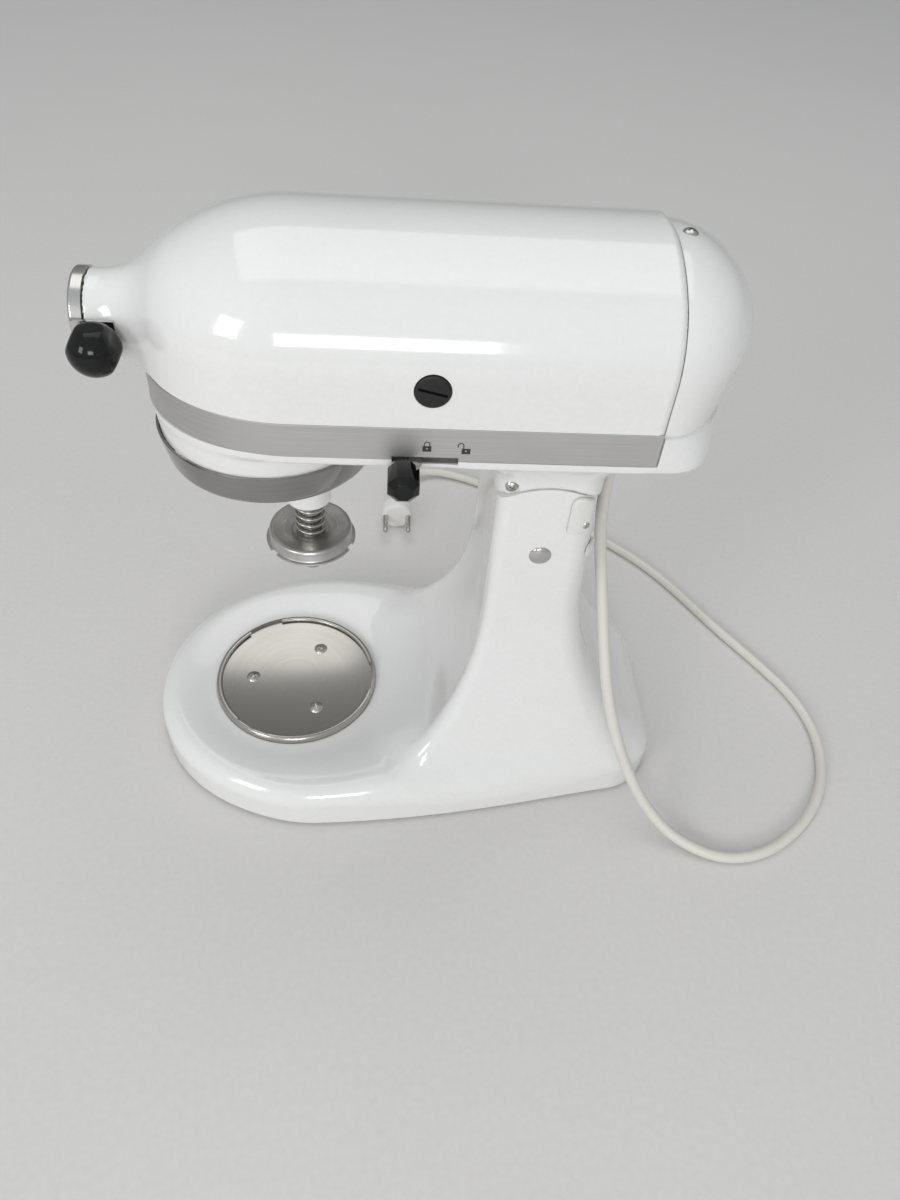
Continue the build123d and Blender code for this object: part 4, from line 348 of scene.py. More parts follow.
@dataclass(frozen=True)
class TurnedMetal(Metal):
    """Bare metal with the rings that a lathe leaves."""

    grain: Grain = Grain.TURNED


BOWL_AXIS = metres(BOWL_CENTRE)
BEATER_AXIS = metres(BEATER_CENTRE)
HUB_AXIS = metres((0.0, 0.0, HUB_Z))

FINISHES = {
    finish.name: finish
    for finish in (
        Finish("white_enamel", (0.83, 0.83, 0.815), (0.80, 0.798, 0.775), (0.09, 0.17), coat=0.5,
               patch_scale=7.0, grain_scale=420.0, grain_depth=12e-6),
        Metal("brushed_steel", (0.62, 0.615, 0.605), (0.47, 0.465, 0.455), (0.46, 0.60),
              grain=Grain.STREAKED, grain_scale=1.0, grain_stretch=(16.0, 5200.0, 1.0),
              grain_depth=12e-6),
        # Partly painted reflection: the steel's own grey, darkened and warmed to stand in for the
        # brown floor and dark head underside that the clamp plate reflects.
        TurnedMetal("polished_steel", (0.50, 0.48, 0.445), (0.42, 0.40, 0.37), (0.22, 0.32),
                    grain_scale=2600.0, grain_depth=1.5e-6, centre=BOWL_AXIS),
        TurnedMetal("worn_steel", (0.66, 0.65, 0.63), (0.42, 0.41, 0.40), (0.26, 0.42),
                    patch_scale=90.0, patch_range=(0.38, 0.66), grain_scale=1300.0,
                    grain_depth=20e-6, centre=BEATER_AXIS),
        Finish("black_plastic", (0.006, 0.006, 0.006), (0.011, 0.011, 0.010), (0.08, 0.16),
               specular=0.28, patch_scale=60.0, grain_scale=500.0),
        Finish("white_plastic", (0.79, 0.785, 0.76), (0.73, 0.72, 0.68), (0.25, 0.38),
               patch_scale=30.0, grain_scale=1400.0, grain_depth=20e-6),
        Finish("cord_plastic", (0.74, 0.72, 0.655), (0.66, 0.635, 0.56), (0.34, 0.5),
               patch_scale=18.0, grain_scale=1600.0, grain_depth=30e-6),
        Finish("rubber", (0.06, 0.06, 0.058), (0.10, 0.10, 0.095), (0.6, 0.8),
               patch_scale=80.0, grain_scale=2000.0, grain_depth=50e-6),
        Metal("zinc_screw", (0.60, 0.59, 0.56), (0.42, 0.41, 0.38), (0.2, 0.4),
              patch_scale=240.0, grain_scale=2500.0, grain_depth=20e-6),
        Metal("gear_steel", (0.46, 0.46, 0.47), (0.30, 0.30, 0.31), (0.25, 0.4),
              patch_scale=60.0, grain_scale=1500.0),
        Metal("bronze", (0.55, 0.36, 0.16), (0.40, 0.25, 0.11), (0.3, 0.45),
              patch_scale=60.0, grain_scale=1500.0),
        Metal("lamination", (0.33, 0.33, 0.34), (0.22, 0.21, 0.20), (0.35, 0.5), patch_scale=40.0,
              grain_scale=1.0, grain_stretch=(2200.0, 20.0, 20.0), grain_depth=80e-6),
        Metal("copper", (0.62, 0.28, 0.14), (0.42, 0.17, 0.08), (0.25, 0.42),
              patch_scale=60.0, grain_scale=1800.0),
        Finish("carbon", (0.03, 0.03, 0.03), (0.05, 0.05, 0.05), (0.5, 0.7),
               patch_scale=90.0, grain_scale=2600.0, grain_depth=40e-6),
        Metal("cast_plate", (0.40, 0.40, 0.40), (0.28, 0.28, 0.28), (0.4, 0.6),
              patch_scale=50.0, grain_scale=900.0, grain_depth=60e-6),
        Finish("dark_plastic", (0.016, 0.016, 0.016), (0.026, 0.025, 0.024), (0.3, 0.45),
               specular=0.3, patch_scale=50.0, grain_scale=1500.0, grain_depth=30e-6),
        Finish("printed_black", (0.02, 0.02, 0.021), (0.045, 0.045, 0.045), (0.35, 0.5),
               patch_scale=200.0, grain_scale=3000.0),
        TurnedMetal("hub_steel", (0.66, 0.65, 0.63), (0.50, 0.49, 0.47), (0.16, 0.3),
                    grain_scale=1700.0, grain_depth=8e-6, centre=HUB_AXIS, turn=Turn.X),
        # Painted reflection: the drip ring's steel gets a dark colour that stands in for the dark
        # surroundings it reflects, not the steel's own tone.
        TurnedMetal("ring_steel", (0.36, 0.355, 0.35), (0.26, 0.255, 0.25), (0.10, 0.20),
                    patch_scale=35.0, grain_scale=1500.0, grain_depth=4e-6, centre=BOWL_AXIS),
        Metal("pin_steel", (0.62, 0.61, 0.60), (0.48, 0.47, 0.46), (0.07, 0.18),
              patch_scale=120.0, grain_scale=1800.0, grain_depth=6e-6),
    )
}


class Paint(dict):
    """Materials by finish name, each made the first time it is asked for."""

    def __missing__(self, name: str) -> bpy.types.Material:
        """Make the finish of that name."""
        self[name] = FINISHES[name].make()
        return self[name]


PAINT = Paint()


def placed(name: str, data: bpy.types.ID) -> bpy.types.Object:
    """Put data into the scene as an object.

    Args:
        name: Name of the object.
        data: Its mesh, curve, lamp or camera.

    Returns:
        The object.
    """
    thing = bpy.data.objects.new(name, data)
    bpy.context.scene.collection.objects.link(thing)
    return thing


def add_piece(
    name: str, mesh: Mesh, body: str, slot: str, replaced: Iterable[str] = (), finish: str = ""
) -> bpy.types.Object:
    """Put a finished mesh into the scene as a piece of the object.

    Args:
        name: Name of the piece.
        mesh: Its mesh, in place.
        body: CAD body that it moves with.
        slot: Material slot of the record.
        replaced: CAD nodes that it stands for.
        finish: Finish of its surface, if it isn't the slot's own.

    Returns:
        The object.
    """
    mesh.name = name
    mesh.materials.clear()
    mesh.materials.append(PAINT[finish or slot])
    piece = placed(name, mesh)
    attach(piece, body)
    nodes = tuple(replaced)
    if nodes:
        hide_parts(*nodes)
    LOG.info("%s: %d faces on %s", name, len(mesh.polygons), body)
    return piece


def sharp_by_angle(mesh: Mesh, degrees: float) -> Mesh:
    """Shade a mesh smooth, apart from its sharp edges.

    Args:
        mesh: The mesh.
        degrees: Angle past which an edge is sharp.

    Returns:
        The same mesh.
    """
    mesh.shade_smooth()
    mesh.set_sharp_from_angle(angle=math.radians(degrees))
    return mesh


def mesh_of(vertices: Sequence[Point], faces: Sequence[Sequence[int]]) -> Mesh:
    """Make a mesh in metres.

    Args:
        vertices: Points in millimetres.
        faces: Numbers of each face's points.

    Returns:
        The mesh.
    """
    mesh = bpy.data.meshes.new("shape")
    mesh.from_pydata([metres(point) for point in vertices], [], faces)
    mesh.validate()
    return mesh


def mesh_from(shape: bmesh.types.BMesh, name: str) -> Mesh:
    """Turn an edited shape into a mesh.

    Args:
        shape: The shape, which is freed.
        name: Name of the mesh.

    Returns:
        The mesh.
    """
    mesh = bpy.data.meshes.new(name)
    shape.to_mesh(mesh)
    shape.free()
    return mesh


def faced_outwards(mesh: Mesh) -> Mesh:
    """Merge a closed mesh's doubled points, drop empty faces and turn the others outwards.

    Args:
        mesh: The mesh.

    Returns:
        The same mesh.
    """
    shape = bmesh.new()
    shape.from_mesh(mesh)
    bmesh.ops.remove_doubles(shape, verts=shape.verts, dist=MERGE)
    bmesh.ops.dissolve_degenerate(shape, edges=shape.edges, dist=MERGE)
    bmesh.ops.recalc_face_normals(shape, faces=shape.faces)
    shape.to_mesh(mesh)
    shape.free()
    return mesh


def joined(meshes: Sequence[Mesh]) -> Mesh:
    """Several meshes as one.

    Args:
        meshes: The meshes.

    Returns:
        A new mesh.
    """
    shape = bmesh.new()
    for mesh in meshes:
        shape.from_mesh(mesh)
    return mesh_from(shape, "joined")


def plain_mesh(thing: bpy.types.Object) -> Mesh:
    """Work out an object's modifiers or curve, and remove the object.

    Args:
        thing: The object.

    Returns:
        Its mesh.
    """
    depsgraph = bpy.context.evaluated_depsgraph_get()
    mesh = bpy.data.meshes.new_from_object(thing.evaluated_get(depsgraph))
    bpy.data.objects.remove(thing)
    return mesh


def carve(mesh: Mesh, *cutters: Mesh, cut: Cut = Cut.REMOVE) -> Mesh:
    """Cut or join a closed mesh with others, one after another.

    Args:
        mesh: The mesh to change.
        cutters: The other closed meshes.
        cut: What they do.

    Returns:
        The new mesh.
    """
    for cutter in cutters:
        body, tool = placed("carved", mesh), placed("cutter", cutter)
        modifier = body.modifiers.new("cut", "BOOLEAN")
        modifier.operation = cut.value
        modifier.solver = "MANIFOLD"
        modifier.object = tool
        mesh = plain_mesh(body)
        bpy.data.objects.remove(tool)
    return mesh


def polar(centre: Point, radius: float, angle: float) -> Pair:
    """Point at a radius and an angle in radians round a centre."""
    return centre[0] + radius * math.cos(angle), centre[1] + radius * math.sin(angle)


def rectangle(low: Point, high: Point) -> list[Pair]:
    """Corners of the rectangle between two opposite corners."""
    return [(low[0], low[1]), (high[0], low[1]), (high[0], high[1]), (low[0], high[1])]


def prism(outline: Sequence[Point], start: float, end: float, turn: Turn) -> Mesh:
    """Outline pushed along an axis into a closed solid.

    Args:
        outline: Points in millimetres; (x, z) for Turn.Y, (y, z) for Turn.X, (x, y) for Turn.Z.
        start: Where it begins on the axis.
        end: Where it ends.
        turn: The axis.

    Returns:
        The solid, with its faces pointing outwards.
    """
    count = len(outline)
    points = [(*point, level) for level in (start, end) for point in outline]
    vertices = [[point[index] for index in PRISM_ORDER[turn]] for point in points]
    faces: list[list[int]] = [list(range(count)), list(range(2 * count - 1, count - 1, -1))]
    for index in range(count):
        following = (index + 1) % count
        faces.append([following, index, count + index, count + following])
    return faced_outwards(mesh_of(vertices, faces))


def box(low: Point, high: Point) -> Mesh:
    """Block between two corners."""
    return prism(rectangle(low, high), low[2], high[2], Turn.Z)


def rod(centre: Point, radius: float, span: Pair, turn: Turn, sides: int = 72) -> Mesh:
    """Round solid along an axis.

    Args:
        centre: Place of its middle, as an outline's point for that axis.
        radius: Its radius in millimetres.
        span: Where it begins and ends on the axis.
        turn: The axis.
        sides: Number of sides.

    Returns:
        The solid.
    """
    outline = [polar(centre, radius, 2 * math.pi * index / sides) for index in range(sides)]
    return prism(outline, *span, turn)


def lathe(profile: Sequence[Point], centre: Point, turn: Turn, sides: int = 96) -> Mesh:
    """Closed profile turned round an axis.

    Args:
        profile: Points of (radius, place on the axis) in millimetres, as a closed loop.
        centre: Point on the axis, in millimetres.
        turn: The axis.
        sides: Number of steps round it.

    Returns:
        The turned mesh, with its faces pointing outwards.
    """
    count = len(profile)
    vertices, faces = [], []
    for step in range(sides):
        angle = 2 * math.pi * step / sides
        near, far = step * count, (step + 1) % sides * count
        for index, (radius, level) in enumerate(profile):
            local = Vector((radius * math.cos(angle), radius * math.sin(angle), level))
            vertices.append(LATHE_AXES[turn] @ local + Vector(centre))
            following = (index + 1) % count
            faces.append([near + index, near + following, far + following, far + index])
    return faced_outwards(mesh_of(vertices, faces))


def notched(mesh: Mesh, centre: Point, notch: Profile, turns: Point, span: Pair) -> Mesh:
    """Cut the same notch into a turned piece at several angles.

    Args:
        mesh: The turned piece.
        centre: Its axis.
        notch: Corners of the notch, as radius and angle in degrees.
        turns: Angles in degrees at which it is cut.
        span: Lower and upper height of the cut.

    Returns:
        The cut piece.
    """
    for turn in turns:
        outline = [polar(centre, radius, math.radians(turn + angle)) for radius, angle in notch]
        mesh = carve(mesh, prism(outline, *span, Turn.Z))
    return mesh


def hollow_prism(outer: Sequence[Point], inner: Sequence[Point], span: Pair) -> Mesh:
    """Wall between two open outlines of the same length, as a closed solid.

    Args:
        outer: Points of the outside, as x and y.
        inner: Points of the inside.
        span: Lower and upper height.

    Returns:
        The solid.
    """
    count = len(outer)
    start, end = span
    levels = ((outer, start), (outer, end), (inner, end), (inner, start))
    vertices = [(*point, level) for outline, level in levels for point in outline]
    faces = []
    for index in range(count - 1):
        for side in range(4):
            near, far = side * count, (side + 1) % 4 * count
            faces.append([near + index, near + index + 1, far + index + 1, far + index])
    faces.append([side * count for side in range(4)])
    faces.append([side * count + count - 1 for side in reversed(range(4))])
    return faced_outwards(mesh_of(vertices, faces))


def distances(points: Sequence[Point]) -> np.ndarray:
    """Distance of each point along the line through the points."""
    lengths = np.linalg.norm(np.diff(np.array(points), axis=0), axis=1)
    return np.concatenate(([0.0], np.cumsum(lengths)))


def swept(rings: Sequence[Sequence[Point]], along: Point, across: Point) -> Mesh:
    """Skin over a row of rings, closed at its ends, with a UV map along it.

    Args:
        rings: Points of each ring, in metres.
        along: First UV value of each ring.
        across: Second UV value of each point of a ring, and once more of the first.

    Returns:
        The mesh, with its faces pointing outwards.
    """
    shape = bmesh.new()
    layer = shape.loops.layers.uv.new("along")
    grid = [[shape.verts.new(point) for point in ring] for ring in rings]
    count = len(grid[0])
    for row in range(len(grid) - 1):
        for side in range(count):
            corners = ((row, side), (row, side + 1), (row + 1, side + 1), (row + 1, side))
            face = shape.faces.new([grid[ring][spot % count] for ring, spot in corners])
            for loop, (ring, spot) in zip(face.loops, corners):
                loop[layer].uv = (along[ring], across[spot])
    shape.faces.new(list(reversed(grid[0])))
    shape.faces.new(grid[-1])
    bmesh.ops.recalc_face_normals(shape, faces=shape.faces)
    return mesh_from(shape, "swept")


def softened(node: str, width: float) -> Mesh:
    """Copy of a flat-sided CAD node with rounded edges.

    Args:
        node: Name of the CAD node.
        width: Width of the rounding in millimetres.

    Returns:
        The new mesh.
    """
    source = frame["nodes"][node]
    shape = bmesh.new()
    shape.from_mesh(source.data)
    shape.transform(source.matrix_world)
    bmesh.ops.remove_doubles(shape, verts=shape.verts, dist=1e-6)
    flat = math.radians(1.0)
    bmesh.ops.dissolve_limit(shape, angle_limit=flat, verts=shape.verts, edges=shape.edges)
    thing = placed(node, mesh_from(shape, node))
    bevel = thing.modifiers.new("rounding", "BEVEL")
    bevel.width = width * MM
    bevel.segments = 3
    bevel.limit_method = "ANGLE"
    bevel.angle_limit = math.radians(22.0)
    return sharp_by_angle(plain_mesh(thing), 32.0)


def smooth_union(first: np.ndarray, second: np.ndarray, reach: float | np.ndarray) -> np.ndarray:
    """Two fields joined with a fillet of about that reach."""
    share = np.clip(0.5 + 0.5 * (second - first) / reach, 0.0, 1.0)
    return second + (first - second) * share - reach * share * (1.0 - share)


def rounded_meet(first: np.ndarray, second: np.ndarray, radius: float | np.ndarray) -> np.ndarray:
    """What lies inside both fields, with a rounded edge between them."""
    outside = np.hypot(np.maximum(first + radius, 0.0), np.maximum(second + radius, 0.0))
    return outside + np.minimum(np.maximum(first, second) + radius, 0.0) - radius


def meet(*fields: np.ndarray) -> np.ndarray:
    """What lies inside every field."""
    return np.maximum.reduce(fields)


def ease(value: np.ndarray, start: float, length: float) -> np.ndarray:
    """Smooth step from 0 to 1 over a stretch."""
    share = np.clip((value - start) / length, 0.0, 1.0)
    return share * share * (3.0 - 2.0 * share)


def soft_positive(value: np.ndarray, reach: float) -> np.ndarray:
    """The value where it is above 0 and 0 below, with a soft bend between."""
    return 0.5 * (value + np.hypot(value, reach))


def slopes(field: Field, points: np.ndarray, nudge: float) -> np.ndarray:
    """Slope of a field at points.

    Args:
        field: Field of distances in millimetres.
        points: Rows of x, y and z.
        nudge: Distance to each side at which the field is read.

    Returns:
        The slope along each axis, row by row.
    """
    offsets = np.eye(3) * nudge
    rises = [field(points + offset) - field(points - offset) for offset in offsets]
    return np.stack(rises, axis=1) / (2 * nudge)


@dataclass(frozen=True)
class Casting:
    """A smooth closed surface where a field of distances, in millimetres, is zero."""

    field: Field
    low: Triple
    high: Triple
    step: float

    def mesh(self) -> Mesh:
        """Wrap the surface in even four-sided faces.

        Returns:
            The mesh, in metres.
        """
        ends = zip(self.low, self.high)
        axes = [np.arange(start, end + self.step, self.step) for start, end in ends]
        grid = np.stack(np.meshgrid(*axes, indexing="ij"), axis=-1)
        value = self.field(grid.reshape(-1, 3)).reshape(grid.shape[:3])
        cells = tuple(size - 1 for size in value.shape)
        total, count = np.zeros((*cells, 3)), np.zeros(cells)
        crossings = []
        for axis in range(3):
            index, point, leaving = self.crossing_edges(value, grid, axis)
            corners = []
            for first, second in ((0, 0), (1, 0), (1, 1), (0, 1)):
                cell = index.copy()
                cell[:, (axis + 1) % 3] -= first
                cell[:, (axis + 2) % 3] -= second
                np.add.at(total, tuple(cell.T), point)
                np.add.at(count, tuple(cell.T), 1.0)
                corners.append(cell)
            crossings.append((corners, leaving))
        used = count > 0
        number = (np.cumsum(used.ravel()) - 1).reshape(cells)
        vertices = self.settled(total[used] / count[used][:, None])
        faces = []
        for corners, leaving in crossings:
            quads = np.stack([number[tuple(cell.T)] for cell in corners], axis=1)
            quads[~leaving] = quads[~leaving][:, ::-1]
            faces.append(quads)
        mesh = bpy.data.meshes.new("casting")
        mesh.from_pydata((vertices * MM).tolist(), [], np.concatenate(faces).tolist())
        return mesh

    def crossing_edges(
        self, value: np.ndarray, grid: np.ndarray, axis: int
    ) -> tuple[np.ndarray, np.ndarray, np.ndarray]:
        """Grid edges along an axis that the surface crosses.

        Args:
            value: Field on the grid.
            grid: Points of the grid.
            axis: Which way the edges run.

        Returns:
            The edges' start indices, the points where they cross, and whether they leave the solid.
        """
        near, far = [slice(1, -1)] * 3, [slice(1, -1)] * 3
        near[axis], far[axis] = slice(0, -1), slice(1, None)
        start, end = value[tuple(near)], value[tuple(far)]
        index = np.argwhere((start < 0) != (end < 0))
        first, second = start[tuple(index.T)], end[tuple(index.T)]
        offset = np.ones(3, int)
        offset[axis] = 0
        index = index + offset
        point = grid[tuple(index.T)].copy()
        point[:, axis] += self.step * first / (first - second)
        return index, point, first < 0

    def settled(self, vertices: np.ndarray) -> np.ndarray:
        """Move points onto the surface along the field's slope.

        Args:
            vertices: Rows of x, y and z.

        Returns:
            The moved points.
        """
        for _ in range(4):
            slope = slopes(self.field, vertices, 0.02)
            steep = np.maximum((slope**2).sum(axis=1), 0.05)
            move = (self.field(vertices) / steep)[:, None] * slope
            length = np.maximum(np.linalg.norm(move, axis=1), 1e-9)
            vertices = vertices - move * np.minimum(1.0, 0.6 * self.step / length)[:, None]
        return vertices


def polish(mesh: Mesh, field: Field) -> Mesh:
    """Shade faces that lie on a field's surface by the field's own slope.

    Args:
        mesh: Mesh whose sharp edges are already marked.
        field: Field of distances in millimetres.

    Returns:
        The same mesh, with custom normals.
    """
    near, agree = 0.08, 0.8
    places = np.empty(len(mesh.vertices) * 3)
    mesh.vertices.foreach_get("co", places)
    points = places.reshape(-1, 3) / MM
    slope = slopes(field, points, 0.05)
    slope /= np.maximum(np.linalg.norm(slope, axis=1), 1e-9)[:, None]
    corners = np.empty(len(mesh.loops) * 3)
    mesh.corner_normals.foreach_get("vector", corners)
    corners = corners.reshape(-1, 3)
    owner = np.empty(len(mesh.loops), dtype=np.int32)
    mesh.loops.foreach_get("vertex_index", owner)
    wanted = slope[owner]
    on_field = np.abs(field(points))[owner] < near
    fits = on_field & ((wanted * corners).sum(axis=1) > agree)
    corners[fits] = wanted[fits]
    mesh.normals_split_custom_set(corners.tolist())
    return mesh


@dataclass(frozen=True)
class Lamp:
    """A soft rectangular lamp: where it hangs, what it faces, its size in metres and its watts."""

    name: str
    place: Triple
    aim: Triple
    size: Pair
    power: float

    def hang(self) -> None:
        """Put the lamp into the scene."""
        data = bpy.data.lights.new(self.name, "AREA")
        data.shape = "RECTANGLE"
        data.size, data.size_y = self.size
        data.energy = self.power
        lamp = placed(self.name, data)
        lamp.location = self.place
        facing = Vector(self.aim) - Vector(self.place)
        lamp.rotation_euler = facing.to_track_quat("-Z", "Y").to_euler()


@dataclass
class Studio:
    """Floor, soft light and the camera at the photograph's angle."""

    floor_half: float = 7.0
    floor: Finish = Finish("studio_floor", (0.72, 0.705, 0.69), (0.68, 0.665, 0.65), (0.5, 0.65),
                           patch_scale=3.0, grain_scale=260.0, grain_depth=60e-6)
    camera_place: Triple = (-0.01485, -0.38003, 0.51630)
    camera_pitch: float = 46.82
    camera_roll: float = 5.47
    camera_yaw: float = -6.16
    camera_lens: float = 26.48
    bright_side: Triple = (-0.2, -0.85, 0.49)
    dim_side_colour: Triple = (0.20, 0.195, 0.19)
    bright_side_colour: Triple = (0.92, 0.95, 0.98)
    sky_strength: float = 0.7
    lamps: tuple[Lamp, ...] = (
        Lamp("overhead_softbox", (0.0, 0.6, 2.2), (0.0, 0.0, 0.2), (2.0, 1.6), 11.0),
        Lamp("window_left", (-1.4, -1.5, 1.1), (0.0, 0.0, 0.25), (0.55, 0.8), 9.0),
        Lamp("window_front", (-0.1, -2.2, 1.0), (0.0, 0.0, 0.25), (0.8, 0.55), 12.0),
    )

    def build(self) -> None:
        """Set the camera, lay the floor and light the room."""
        self.set_camera()
        self.lay_floor()
        self.light_sky()
        for lamp in self.lamps:
            lamp.hang()
        bpy.context.scene.view_settings.view_transform = "Standard"

    def set_camera(self) -> None:
        """Stand the camera where the photograph was taken from."""
        pitch, roll = math.radians(self.camera_pitch), math.radians(self.camera_roll)
        ahead = Vector((0.0, math.cos(pitch), -math.sin(pitch)))
        down = Vector((0.0, -math.sin(pitch), -math.cos(pitch)))
        right = Vector((1.0, 0.0, 0.0))
        side = right * math.cos(roll) - down * math.sin(roll)
        up = -(right * math.sin(roll) + down * math.cos(roll))
        axes = Matrix((side, up, -ahead)).transposed()
        turned = Matrix.Rotation(math.radians(self.camera_yaw), 3, "Z") @ axes
        data = bpy.data.cameras.new("photo_camera")
        data.lens = self.camera_lens
        data.sensor_width = 36.0
        data.sensor_fit = "AUTO"
        data.clip_start = 0.01
        camera = placed("photo_camera", data)
        camera.matrix_world = Matrix.Translation(self.camera_place) @ turned.to_4x4()
        bpy.context.scene.camera = camera

    def lay_floor(self) -> None:
        """Lay a plain pale floor under the object."""
        half = self.floor_half
        corners = [(x, y, 0.0) for x, y in rectangle((-half, -half), (half, half))]
        mesh = bpy.data.meshes.new("studio_floor")
        mesh.from_pydata(corners, [], [[0, 1, 2, 3]])
        mesh.materials.append(self.floor.make())
        placed("studio_floor", mesh)

    def light_sky(self) -> None:
        """Fill the surroundings with a pale light that is brighter in front."""
        world = bpy.data.worlds.new("soft_room")
        world.use_nodes = True
        sheet = NodeSheet(world.node_tree)
        view = sheet.node("ShaderNodeTexCoord").outputs["Generated"]
        towards = sheet.node("ShaderNodeVectorMath", {"operation": "DOT_PRODUCT"}, Vector=view)
        towards.inputs[1].default_value = self.bright_side
        share = sheet.spread(towards.outputs["Value"], (-1.0, 1.0), (0.0, 1.0))
        sky = world.node_tree.nodes["Background"]
        colour = sheet.tint(share, self.dim_side_colour, self.bright_side_colour)
        sheet.link(colour, sky.inputs["Color"])
        sky.inputs["Strength"].default_value = self.sky_strength
        bpy.context.scene.world = world


@dataclass
class MainsLead:
    """Mains cord with its strain relief, plug and pins."""

    route: tuple[Triple, ...] = (
        (0.104, -0.010, 0.232), (0.104, -0.010, 0.206), (0.107, -0.015, 0.177),
        (0.112, -0.027, 0.148), (0.116, -0.044, 0.119), (0.121, -0.061, 0.091),
        (0.130, -0.075, 0.064), (0.142, -0.087, 0.039), (0.156, -0.098, 0.019),
        (0.173, -0.111, 0.007), (0.200, -0.124, 0.0036), (0.228, -0.122, 0.0036),
        (0.254, -0.108, 0.0036), (0.276, -0.087, 0.0036), (0.291, -0.060, 0.0036),
        (0.297, -0.027, 0.0036), (0.290, 0.006, 0.0036), (0.271, 0.038, 0.0036),
        (0.247, 0.073, 0.0036), (0.227, 0.108, 0.0036), (0.204, 0.142, 0.0036),
        (0.172, 0.173, 0.0036), (0.128, 0.207, 0.0036), (0.078, 0.241, 0.0036),
        (0.037, 0.259, 0.0042), (0.011, 0.253, 0.0086), (-0.006, 0.232, 0.0124),
        (-0.006, 0.214, 0.0124),
    )
    radius: float = 0.0035
    sides: int = 20
    real_length: float = 0.916
    bend_end: Triple = (0.104, -0.010, 0.130)
    relief_bore: float = 3.52
    relief_tip_z: float = 231.0
    relief_collar_z: float = 247.0
    relief_top_z: float = 261.2
    relief_tip: float = 4.6
    relief_collar: float = 7.0
    relief_ribs: int = 6
    relief_margin: float = 1.0
    relief_first_rib: float = 4.7
    relief_growth: float = 1.9
    relief_rib: Profile = ((-0.55, 0.0), (-0.55, 0.3), (0.0, 0.42), (0.1, 0.85), (-0.4, 0.97))
    plug_centre: Triple = (-6.0, 214.0, 12.4)
    plug_neck: Profile = ((0.0, 0.0), (5.2, 0.0), (5.6, -0.8))
    grip_ribs: int = 4
    grip_start: float = -2.0
    grip_pitch: float = 2.3
    grip_radius: float = 5.9
    grip_growth: float = 0.75
    grip_rib: Profile = ((-0.5, 0.4), (-0.5, -0.4), (0.0, -0.7), (0.3, -1.7))
    plug_head: Profile = (
        (9.9, -11.8), (11.6, -13.6), (12.3, -16.0), (12.4, -18.5), (12.4, -25.6),
        (12.1, -26.9), (11.2, -27.7), (10.2, -28.0), (0.0, -28.0),
    )
    pin_offset: float = 9.5
    pin_profile: Profile = (
        (0.0, -28.0), (2.4, -28.0), (2.4, -37.0), (2.05, -37.1), (2.05, -45.2),
        (1.8, -46.1), (1.2, -46.8), (0.0, -47.0),
    )

    def build(self) -> None:
        """Make the cord, its strain relief and its plug."""
        path = self.centre_line()
        plug = self.make_plug()
        pins = self.make_pins()
        self.make_relief()
        cord = placed("mains_cord", self.tube(path))
        cord.data.name = "mains_cord"
        cord.data.materials.append(PAINT["cord_plastic"])
        self.route[0]
        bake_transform(cord)
        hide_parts("cord_hanging", "cord_floor")
        self.route[0]
        LOG.info("mains_cord: %d points along it", len(path))

    def centre_line(self) -> list[Vector]:
        """Follow the smooth line that the route's points control.

        Returns:
            Points of the line.
        """
        curve = bpy.data.curves.new("cord_line", "CURVE")
        curve.dimensions = "3D"
        curve.resolution_u = 10
        spline = curve.splines.new("NURBS")
        spline.points.add(len(self.route) - 1)
        for control, point in zip(spline.points, self.route):
            control.co = (*point, 1.0)
        spline.order_u = 3
        spline.use_endpoint_u = True
        mesh = plain_mesh(placed("cord_line", curve))
        points = [vertex.co.copy() for vertex in mesh.vertices]
        bpy.data.curves.remove(curve)
        bpy.data.meshes.remove(mesh)
        return points

    def tube(self, path: Sequence[Vector]) -> Mesh:
        """Round tube along a line.

        Args:
            path: Points of the line.

        Returns:
            The tube, closed at its ends, with a UV map along it.
        """
        across = Vector((1.0, 0.0, 0.0))
        angles = [2 * math.pi * step / self.sides for step in range(self.sides)]
        rings = []
        for index, point in enumerate(path):
            ahead = path[min(index + 1, len(path) - 1)] - path[max(index - 1, 0)]
            ahead.normalize()
            across = (across - ahead * across.dot(ahead)).normalized()
            side = ahead.cross(across)
            offsets = [across * math.cos(angle) + side * math.sin(angle) for angle in angles]
            rings.append([point + offset * self.radius for offset in offsets])
        shares = [step / self.sides for step in range(self.sides + 1)]
        return sharp_by_angle(swept(rings, distances(path), shares), 60.0)

    def make_relief(self) -> None:
        """Ribbed and tapered strain relief; a rib's heights are shares of the pitch."""
        bore, tip, top = self.relief_bore, self.relief_tip_z, self.relief_top_z
        collar, collar_z = self.relief_collar, self.relief_collar_z
        ribbed = collar_z - tip - 2.0 * self.relief_margin
        pitch = ribbed / self.relief_ribs
        profile = [(bore, tip), (self.relief_tip, tip)]
        for rib in range(self.relief_ribs):
            low = tip + self.relief_margin + ribbed * rib / self.relief_ribs
            radius = self.relief_first_rib + self.relief_growth * rib / (self.relief_ribs - 1)
            profile += [(radius + grow, low + share * pitch) for grow, share in self.relief_rib]
        profile += [(collar, collar_z), (collar, top), (bore, top)]
        mesh = sharp_by_angle(lathe(profile, (*CORD_HOLE, 0.0), Turn.Z, 48), 40.0)
        add_piece("strain_relief", mesh, "head", "dark_plastic", ["cord_gland"], "white_plastic")

    def make_plug(self) -> bpy.types.Object:
        """Round plug with a tapered neck and a ridged grip.

        Returns:
            The plug.
        """
        profile = [*self.plug_neck]
        for rib in range(self.grip_ribs):
            start = self.grip_start - self.grip_pitch * rib
            radius = self.grip_radius + self.grip_growth * rib
            profile += [(radius + change, start + along) for change, along in self.grip_rib]
        profile += self.plug_head
        mesh = sharp_by_angle(lathe(profile, self.plug_centre, Turn.Y, 72), 40.0)
        return add_piece("mains_plug", mesh, "base", "white_plastic", ["plug"])

